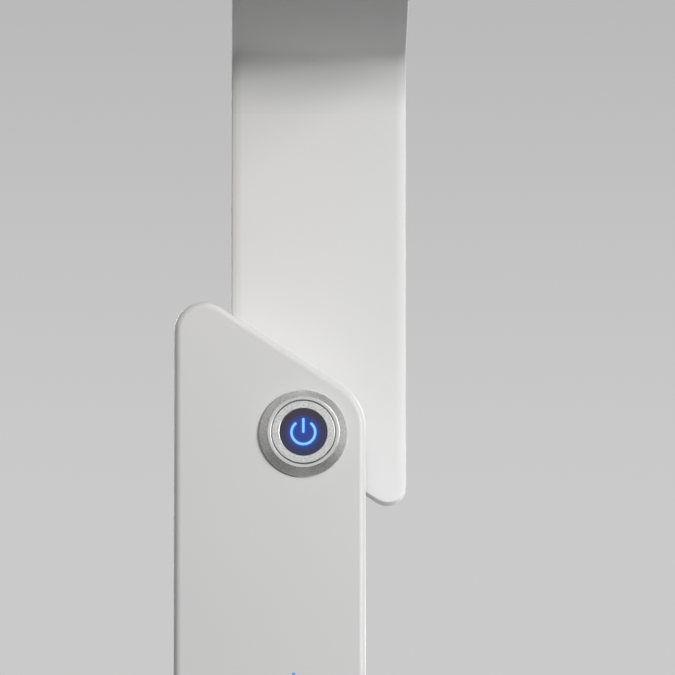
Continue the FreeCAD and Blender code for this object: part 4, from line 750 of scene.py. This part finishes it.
class LAMP_OT_return_spring(Operator):
    """Winds the coil spring that pushes the button back out"""
    bl_idname = "lamp.return_spring"
    bl_label = "Return spring"

    def execute(self, context):
        sizes = lamp_sizes()
        wire = sizes.spring_wire / 2
        low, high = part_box("return_spring")
        middle = (low + high) / 2
        mean = (high.x - low.x) / 2 - wire
        closed = 2 * wire
        free = (high.y - low.y) - 2 * wire - 2 * closed
        steps = 40
        active = sizes.spring_turns - 2

        def height(turn):
            if turn < 1:
                return closed * turn
            if turn > sizes.spring_turns - 1:
                return closed + free + closed * (turn - sizes.spring_turns + 1)
            return closed + free * (turn - 1) / active

        def wind(mesh):
            path = []
            for step in range(sizes.spring_turns * steps + 1):
                turn = step / steps
                angle = math.tau * turn
                path.append(Vector((middle.x + mean * math.cos(angle), low.y + wire + height(turn),
                                    middle.z + mean * math.sin(angle))))
            add_swept(mesh, path, circle(wire, 12))

        new_piece("return_spring_coil", wind, "power_button", "spring_steel", "return_spring",
                  drawn_wire("spring_wire", (0.40, 0.40, 0.42)))
        return {"FINISHED"}


class LAMP_OT_indicator(Operator):
    """Finishes the small blue indicator under the button"""
    bl_idname = "lamp.indicator"
    bl_label = "Indicator"

    def execute(self, context):
        tones = lamp_colours()
        set_finish(lit_mark("indicator_light", (0.10, 0.20, 0.62), 1.0), "indicator_light_pipe")
        set_finish(lit_mark("indicator_led_light", tones.glow, 0.8), "indicator_led")
        track = shade(tones.resist, 2.2)
        set_finish(board_resist("indicator_resist", tones.resist, track), "indicator_board")
        set_finish(rubber_skin("pad_foam", tones.rubber, 0.75), "indicator_pads")
        return {"FINISHED"}


class LAMP_OT_hinge(Operator):
    """Finishes the friction hinge between the post and the arm"""
    bl_idname = "lamp.hinge"
    bl_label = "Hinge"

    def execute(self, context):
        tones = lamp_colours()
        set_finish(zinc_plate("hinge_zinc", tones.zinc), "hinge_bracket", "stop_pins", "hinge_nut")
        set_finish(turned_brass("hinge_brass", tones.brass), "hinge_bush")
        set_finish(drawn_wire("shaft_steel", (0.52, 0.52, 0.53), 0.22), "hinge_shaft", "stop_washer")
        set_finish(drawn_wire("washer_steel", (0.34, 0.33, 0.33), 0.36), "spring_washers")
        set_finish(moulded("washer_plastic", tones.black, 0.55), "friction_washer")
        return {"FINISHED"}


class LAMP_OT_arm(Operator):
    """Finishes the bent arm, its rear cover, and the plate that holds it on the hinge"""
    bl_idname = "lamp.arm"
    bl_label = "Arm"

    def execute(self, context):
        tones = lamp_colours()
        set_finish(powder_coat("arm_powder_coat", tones.paint, arm_falls), "arm_shell")
        set_finish(powder_coat("cover_powder_coat", tones.paint), "arm_rear_cover")
        set_finish(zinc_plate("plate_zinc", tones.zinc), "arm_hinge_plate", "plate_studs", "plate_nuts")
        return {"FINISHED"}


class LAMP_OT_light_source(Operator):
    """Finishes the boards and sheets of the light source in the head"""
    bl_idname = "lamp.light_source"
    bl_label = "Light source"

    def execute(self, context):
        tones = lamp_colours()
        set_finish(extruded_aluminium("spreader_aluminium", tones.aluminium), "heat_spreader")
        set_finish(white_resist("led_board_resist", (0.78, 0.78, 0.76)), "led_board")
        set_finish(opal_sheet("opal_acrylic", tones.opal), "diffuser")
        set_finish(moulded("connector_plastic", tones.natural), "arm_connector")
        return {"FINISHED"}


class LAMP_OT_led_packages(Operator):
    """Builds the forty LEDs on the light source's board"""
    bl_idname = "lamp.led_packages"
    bl_label = "LED packages"

    def execute(self, context):
        tones = lamp_colours()
        well = lamp_sizes().led_well
        low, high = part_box("leds")
        rows = 2
        per_row = 20
        half = LED_HALF
        tall = high.z - low.z
        sides = 24

        def square(size, height, spot):
            points = []
            for a, b in circle(1.0, sides):
                reach = size / max(abs(a), abs(b))
                points.append(spot + Vector((a * reach, b * reach, height)))
            return points

        def disc(radius, height, spot):
            return [spot + Vector((a, b, height)) for a, b in circle(radius, sides)]

        def fill(mesh):
            for row in range(rows):
                for index in range(per_row):
                    x = low.x + half + row * (high.x - low.x - 2 * half)
                    y = high.y - half - index * (high.y - low.y - 2 * half) / (per_row - 1)
                    spot = Vector((x, y, low.z))
                    add_skin(mesh, [square(half, 0.0, spot), square(half, 0.88 * tall, spot),
                                    square(0.95 * half, tall, spot), disc(well, tall, spot),
                                    disc(0.90 * well, 0.5 * tall, spot)])
                    add_skin(mesh, [disc(0.91 * well, 0.45 * tall, spot),
                                    disc(0.925 * well, 0.62 * tall, spot),
                                    disc(0.6 * well, 0.70 * tall, spot),
                                    [spot + Vector((0, 0, 0.73 * tall))]], 1)
                    for side in (-1, 1):
                        add_block(mesh, (x - 0.9 * MM, y + side * half - 0.25 * MM, low.z),
                                  (x + 0.9 * MM, y + side * half, low.z + 0.2 * tall), 0.03 * MM, 2)

        new_piece("led_packages", fill, "arm", "led", "leds",
                  moulded("led_package", (0.80, 0.80, 0.77), 0.38, 5000.0, 2e-6),
                  phosphor_face("led_phosphor", tones.phosphor),
                  drawn_wire("led_lands", (0.62, 0.61, 0.58)))
        return {"FINISHED"}


class LAMP_OT_electronics(Operator):
    """Finishes the control board, its spacers and screws, and the supply socket"""
    bl_idname = "lamp.electronics"
    bl_label = "Control board and supply socket"

    def execute(self, context):
        tones = lamp_colours()
        track = shade(tones.resist, 2.2)
        set_finish(board_resist("control_resist", tones.resist, track), "control_board")
        set_finish(turned_brass("fitting_brass", tones.brass),
                   "board_standoffs", "supply_pin", "supply_nut")
        set_finish(zinc_plate("board_screw_zinc", tones.zinc), "board_screws")
        set_finish(moulded("socket_plastic", tones.black, 0.40), "supply_socket")
        return {"FINISHED"}


class LAMP_OT_components(Operator):
    """Builds the parts that stand on the control board"""
    bl_idname = "lamp.components"
    bl_label = "Board components"

    def execute(self, context):
        tones = lamp_colours()
        low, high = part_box("control_board")
        self.foot = Vector(((low.x + high.x) / 2, high.y, low.z))
        plastic = moulded("chip_plastic", (0.020, 0.020, 0.022), 0.50)
        tinned = drawn_wire("tinned_leads", (0.60, 0.60, 0.59))
        natural = moulded("header_plastic", tones.natural, 0.42)
        brass = turned_brass("contact_brass", tones.brass)
        all_low, all_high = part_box("board_components")
        for name, start in (("supply_header", all_low.z), ("output_header", all_high.z - 10 * MM)):
            self.piece(name, lambda mesh, z=start: self.header(mesh, all_low.x, z), natural, brass)
        self.piece("choke_coil", self.choke, moulded("ferrite", (0.035, 0.034, 0.036), 0.62),
                   drawn_wire("enamelled_copper", tones.copper, 0.22))
        for name, radius, x, z, tall in (("input_capacitor_can", 5, -9, 30, 13),
                                         ("output_capacitor_can", 4, -6, 76, 12)):
            self.piece(name, lambda mesh, r=radius, x=x, z=z, h=tall: self.capacitor(mesh, r, x, z, h),
                       moulded(name + "_sleeve", (0.012, 0.016, 0.05), 0.30),
                       drawn_wire(name + "_top", (0.62, 0.62, 0.63)))
        for name, width, tall, x, z, depth, legs in (
                ("converter_chip", 9, 14, 10.5, 51, 1.6, 7), ("controller_chip", 8, 8, 8, 74, 1.4, 5),
                ("power_diode_body", 5, 7, 9.5, 29.5, 2.2, 1)):
            given = (width, tall, x, z, depth, legs)
            self.piece(name, lambda mesh, given=given: self.chip(mesh, *given), plastic, tinned)
        return {"FINISHED"}

    def piece(self, name, build, *materials):
        new_piece(name, build, "stand", "components", "board_components", *materials)

    def spot(self, x, z, up=0.0):
        """A point over the board, from millimetres on it."""
        return self.foot + Vector((x, up, z)) * MM

    def header(self, mesh, x, z):
        """Housing with four channels and a crimped contact in each."""
        wide, deep, tall, wall = 17.0, 8.0, 10.0, 1.0
        y = self.foot.y / MM
        x, z = x / MM, z / MM
        channels = 4
        pitch = (wide - wall) / channels

        def part(x0, x1, y0, y1, z0, z1, bevel, material=0):
            add_block(mesh, Vector((x0, y0, z0)) * MM, Vector((x1, y1, z1)) * MM, bevel * MM, material)

        part(x, x + wide, y, y + 1.4, z, z + tall, 0.15)
        for index in range(channels + 1):
            start = x + index * pitch
            part(start, start + wall, y + 1.2, y + 0.86 * deep, z + 0.2, z + tall - 0.2, 0.12)
        for start in (z, z + tall - 1.4):
            part(x, x + wide, y + 1.2, y + 0.8 * deep, start, start + 1.4, 0.15)
        part(x + 5.5, x + 11.5, y + 0.8 * deep, y + deep, z + 0.3, z + tall - 0.3, 0.3)
        for index in range(channels):
            middle = x + wall / 2 + (index + 0.5) * pitch
            part(middle - 0.9, middle + 0.9, y + 1.6, y + 3.6, z + 1.6, z + tall - 1.6, 0.25, 1)

    def choke(self, mesh):
        """Drum core on a square foot, wound with enamelled wire."""
        sizes = lamp_sizes()
        half, tall = 7.0, 11.0
        x, z = -5.0, 55.0
        foot = self.spot(x, z)
        add_block(mesh, foot + Vector((-half, 0, -half)) * MM, foot + Vector((half, 1.2, half)) * MM,
                  0.5 * MM)
        core = 4.4
        drum = [(0, 1.0), (6.4, 1.0), (6.6, 1.3), (6.6, 2.2), (6.4, 2.5), (core, 2.6),
                (core, tall - 1.6), (6.4, tall - 1.5), (6.6, tall - 1.2), (6.6, tall - 0.3),
                (6.3, tall), (1.6, tall), (1.2, tall - 0.5), (0, tall - 0.5)]
        add_turned(mesh, [(r * MM, h * MM) for r, h in drum], foot)
        wire = sizes.choke_wire / 2
        start = 2.6 * MM + wire
        rise = (tall - 1.6) * MM - wire - start
        steps = 36
        path = []
        for step in range(sizes.choke_turns * steps + 1):
            turn = step / steps
            path.append(foot + Vector(((core * MM + wire) * math.cos(math.tau * turn),
                                       start + rise * turn / sizes.choke_turns,
                                       (core * MM + wire) * math.sin(math.tau * turn))))
        add_swept(mesh, path, circle(wire, 10), material=1)

    def capacitor(self, mesh, radius, x, z, tall):
        """Can in a shrunk sleeve, rolled in over its seal, with a scored top."""
        foot = self.spot(x, z)
        sleeve = [(radius - 0.6, 0), (radius - 0.6, 0.5), (radius - 0.1, 0.8), (radius, 1.2),
                  (radius, 1.9), (radius - 0.45, 2.4), (radius, 2.9), (radius, tall - 0.7),
                  (radius - 0.2, tall - 0.2), (radius - 0.7, tall), (radius - 1.2, tall - 0.05),
                  (radius - 1.2, tall - 0.4)]
        add_turned(mesh, [(r * MM, h * MM) for r, h in sleeve], foot)
        top = [(radius - 1.25, tall - 0.8), (radius - 1.25, tall - 0.22), (0, tall - 0.15)]
        add_turned(mesh, [(r * MM, h * MM) for r, h in top], foot, material=1)
        for angle in (0.0, math.pi / 2):
            along = Vector((math.cos(angle), 0, math.sin(angle))) * (radius - 2.0) * MM
            middle = foot + Vector((0, tall - 0.12, 0)) * MM
            add_swept(mesh, [middle - along, middle + along], rectangle(0.25 * MM, 0.2 * MM),
                      Vector((-math.sin(angle), 0, math.cos(angle))), 1)

    def chip(self, mesh, width, tall, x, z, depth, legs):
        """Moulded body between two rows of bent legs, with a dimple at pin one."""
        sizes = lamp_sizes()
        leg = sizes.lead_width if legs > 1 else 4 * sizes.lead_width
        body = width / 2 - 0.9
        foot = self.spot(x, z)
        add_block(mesh, foot + Vector((-body, 0.15, -tall / 2)) * MM,
                  foot + Vector((body, depth, tall / 2)) * MM, 0.12 * MM)
        add_turned(mesh, [(0.45 * MM, -0.02 * MM), (0.45 * MM, -0.005 * MM), (0.3 * MM, 0.0)],
                   foot + Vector((-body + 1.0, depth, -tall / 2 + 1.0)) * MM, 20)
        for side in (-1, 1):
            for index in range(legs):
                place = (index + 0.5) * tall / legs - tall / 2
                run = ((body - 0.1, 0.5 * depth), (body + 0.25, 0.5 * depth), (body + 0.42, 0.12),
                       (width / 2, 0.12))
                path = [foot + Vector((side * out, up, place)) * MM for out, up in run]
                add_swept(mesh, path, rectangle(leg, 0.16 * MM), Vector((0, 0, 1)), 1)


class LAMP_OT_cables(Operator):
    """Finishes the cables in the post and the arm, and the clips that hold them"""
    bl_idname = "lamp.cables"
    bl_label = "Cables"

    def execute(self, context):
        tones = lamp_colours()
        set_finish(rubber_skin("cable_jacket", shade(tones.rubber, 1.2), 0.50),
                   "lamp_cable", "switch_cable", "indicator_cable", "supply_cable", "arm_cable")
        set_finish(moulded("clip_plastic", tones.natural, 0.44), "cable_clips")
        return {"FINISHED"}


class LAMP_OT_stage(Operator):
    """Makes the floor, the backdrop, the lights and the camera"""
    bl_idname = "lamp.stage"
    bl_label = "Set the stage"

    def execute(self, context):
        settings = studio()
        self.make_camera(context, settings)
        self.make_world(context, settings)
        self.make_floor()
        self.make_lights()
        context.scene.view_settings.view_transform = "Standard"
        return {"FINISHED"}

    def make_camera(self, context, settings):
        data = bpy.data.cameras.new("picture_camera")
        data.lens = settings.lens
        data.clip_end = 100
        camera = bpy.data.objects.new("picture_camera", data)
        context.scene.collection.objects.link(camera)
        pitch = math.radians(settings.pitch)
        yaw = math.radians(settings.yaw)
        ahead = Vector((math.sin(yaw) * math.cos(pitch), math.cos(yaw) * math.cos(pitch),
                        math.sin(pitch)))
        camera.location = Vector(settings.aim) - settings.distance * ahead
        camera.rotation_euler = (math.radians(90) + pitch, 0, -yaw)
        context.scene.camera = camera

    def make_world(self, context, settings):
        """The lobes light the lamp. What the camera sees past it, through it, or mirrored towards the
        back is the backdrop."""
        world = bpy.data.worlds.new("studio_world")
        context.scene.world = world
        sky = Finish("studio_world", world)
        x, y, z = sky.axes(sky.node("TexCoord", out="Generated"))
        channels = [0.0, 0.0, 0.0]
        for right, above, gathered, strength, tint in LOBES.values():
            turn, rise = math.radians(right), math.radians(above)
            facing = (x * (math.sin(turn) * math.cos(rise)) - y * (math.cos(turn) * math.cos(rise))
                      + z * math.sin(rise))
            glow = facing.most(0.0) ** float(gathered)
            channels = [channel + glow * share
                        for channel, share in zip(channels, shade(tint, strength))]
        room = sky.node("CombineColor", sockets=dict(enumerate(channels)))
        height = sky.span(z, 0.160, 0.215)
        seen = sky.mix(settings.backdrop_low, settings.backdrop_high, height)
        camera_ray = sky.node("LightPath", out="Is Camera Ray")
        glossy_ray = sky.node("LightPath", out="Is Glossy Ray")
        clear_ray = sky.node("LightPath", out="Is Transmission Ray")
        behind = sky.span(y, 0.0, 0.3)
        share = (camera_ray + clear_ray + glossy_ray * behind).least(1.0)
        background = sky.node("Background", sockets={"Color": sky.mix(room, seen, share),
                                                     "Strength": 1.0})
        sky.node("OutputWorld", sockets={"Surface": background})

    def make_floor(self):
        """A pale round floor that fades into the backdrop and takes the lamp's shadow."""
        reach = FLOOR_REACH
        mesh = bpy.data.meshes.new("studio_floor")
        rim = [(a, b, FLOOR_DROP) for a, b in circle(reach, FLOOR_SIDES)]
        mesh.from_pydata(rim, [], [list(range(FLOOR_SIDES))])
        floor = bpy.data.objects.new("studio_floor", mesh)
        bpy.context.scene.collection.objects.link(floor)
        finish = Finish("studio_floor")
        x, y, _ = finish.axes()
        camera_ray = finish.node("LightPath", out="Is Camera Ray")
        grain = finish.noise(14.0, 3.0)
        pale = finish.mix((0.60, 0.60, 0.60), (0.62, 0.62, 0.62), grain)
        tone = finish.mix((0.10, 0.10, 0.10), pale, camera_ray)
        shader = finish.node("BsdfPrincipled", sockets={"Base Color": tone, "Roughness": 0.9,
                                                        "Specular IOR Level": 0.1})
        clear = finish.node("BsdfTransparent")
        distance = (x * x + y * y) ** 0.5
        fade = finish.span(distance, 0.2 * reach, 0.95 * reach)
        finish.node("OutputMaterial", sockets={"Surface": finish.node("MixShader", sockets={
            0: fade, 1: shader, 2: clear})})
        mesh.materials.append(finish.material)

    def make_lights(self):
        for name, (place, size, point, watts, tint) in LAMPS.items():
            strongest = max(tint)
            data = bpy.data.lights.new(name, "AREA")
            data.energy = watts * strongest
            data.color = shade(tint, 1 / strongest)
            data.shape = "DISK"
            data.size = size
            lamp = bpy.data.objects.new(name, data)
            bpy.context.scene.collection.objects.link(lamp)
            lamp.location = place
            aim = Vector(point) - Vector(place)
            lamp.rotation_euler = aim.to_track_quat("-Z", "Y").to_euler()
            lamp.visible_camera = False


class LAMP_PT_panel(Panel):
    """Sizes, colours and steps of the lamp"""
    bl_idname = "LAMP_PT_panel"
    bl_label = "Uplight Floor Lamp"
    bl_space_type = "VIEW_3D"
    bl_region_type = "UI"
    bl_category = "Lamp"

    def draw(self, context):
        scene = context.scene
        for group in (scene.lamp_sizes, scene.lamp_colours, scene.lamp_studio):
            box = self.layout.box()
            for name in group.__annotations__:
                box.prop(group, name)
        for step in STEPS:
            self.layout.operator(step.bl_idname)


STEPS = (LAMP_OT_base, LAMP_OT_post, LAMP_OT_push_button, LAMP_OT_return_spring, LAMP_OT_indicator,
         LAMP_OT_hinge, LAMP_OT_arm, LAMP_OT_light_source, LAMP_OT_led_packages, LAMP_OT_electronics,
         LAMP_OT_components, LAMP_OT_cables, LAMP_OT_stage)
CLASSES = (LampColours, LampSizes, StudioSettings, *STEPS, LAMP_PT_panel)


def register():
    for each in CLASSES:
        bpy.utils.register_class(each)
    bpy.types.Scene.lamp_colours = PointerProperty(type=LampColours)
    bpy.types.Scene.lamp_sizes = PointerProperty(type=LampSizes)
    bpy.types.Scene.lamp_studio = PointerProperty(type=StudioSettings)


def unregister():
    del bpy.types.Scene.lamp_studio
    del bpy.types.Scene.lamp_sizes
    del bpy.types.Scene.lamp_colours
    for each in reversed(CLASSES):
        bpy.utils.unregister_class(each)


def main():
    register()
    bpy.ops.lamp.base()
    bpy.ops.lamp.post()
    bpy.ops.lamp.push_button()
    bpy.ops.lamp.return_spring()
    bpy.ops.lamp.indicator()
    bpy.ops.lamp.hinge()
    bpy.ops.lamp.arm()
    bpy.ops.lamp.light_source()
    bpy.ops.lamp.led_packages()
    bpy.ops.lamp.electronics()
    bpy.ops.lamp.components()
    bpy.ops.lamp.cables()
    bpy.ops.lamp.stage()


if __name__ == "__main__":
    main()
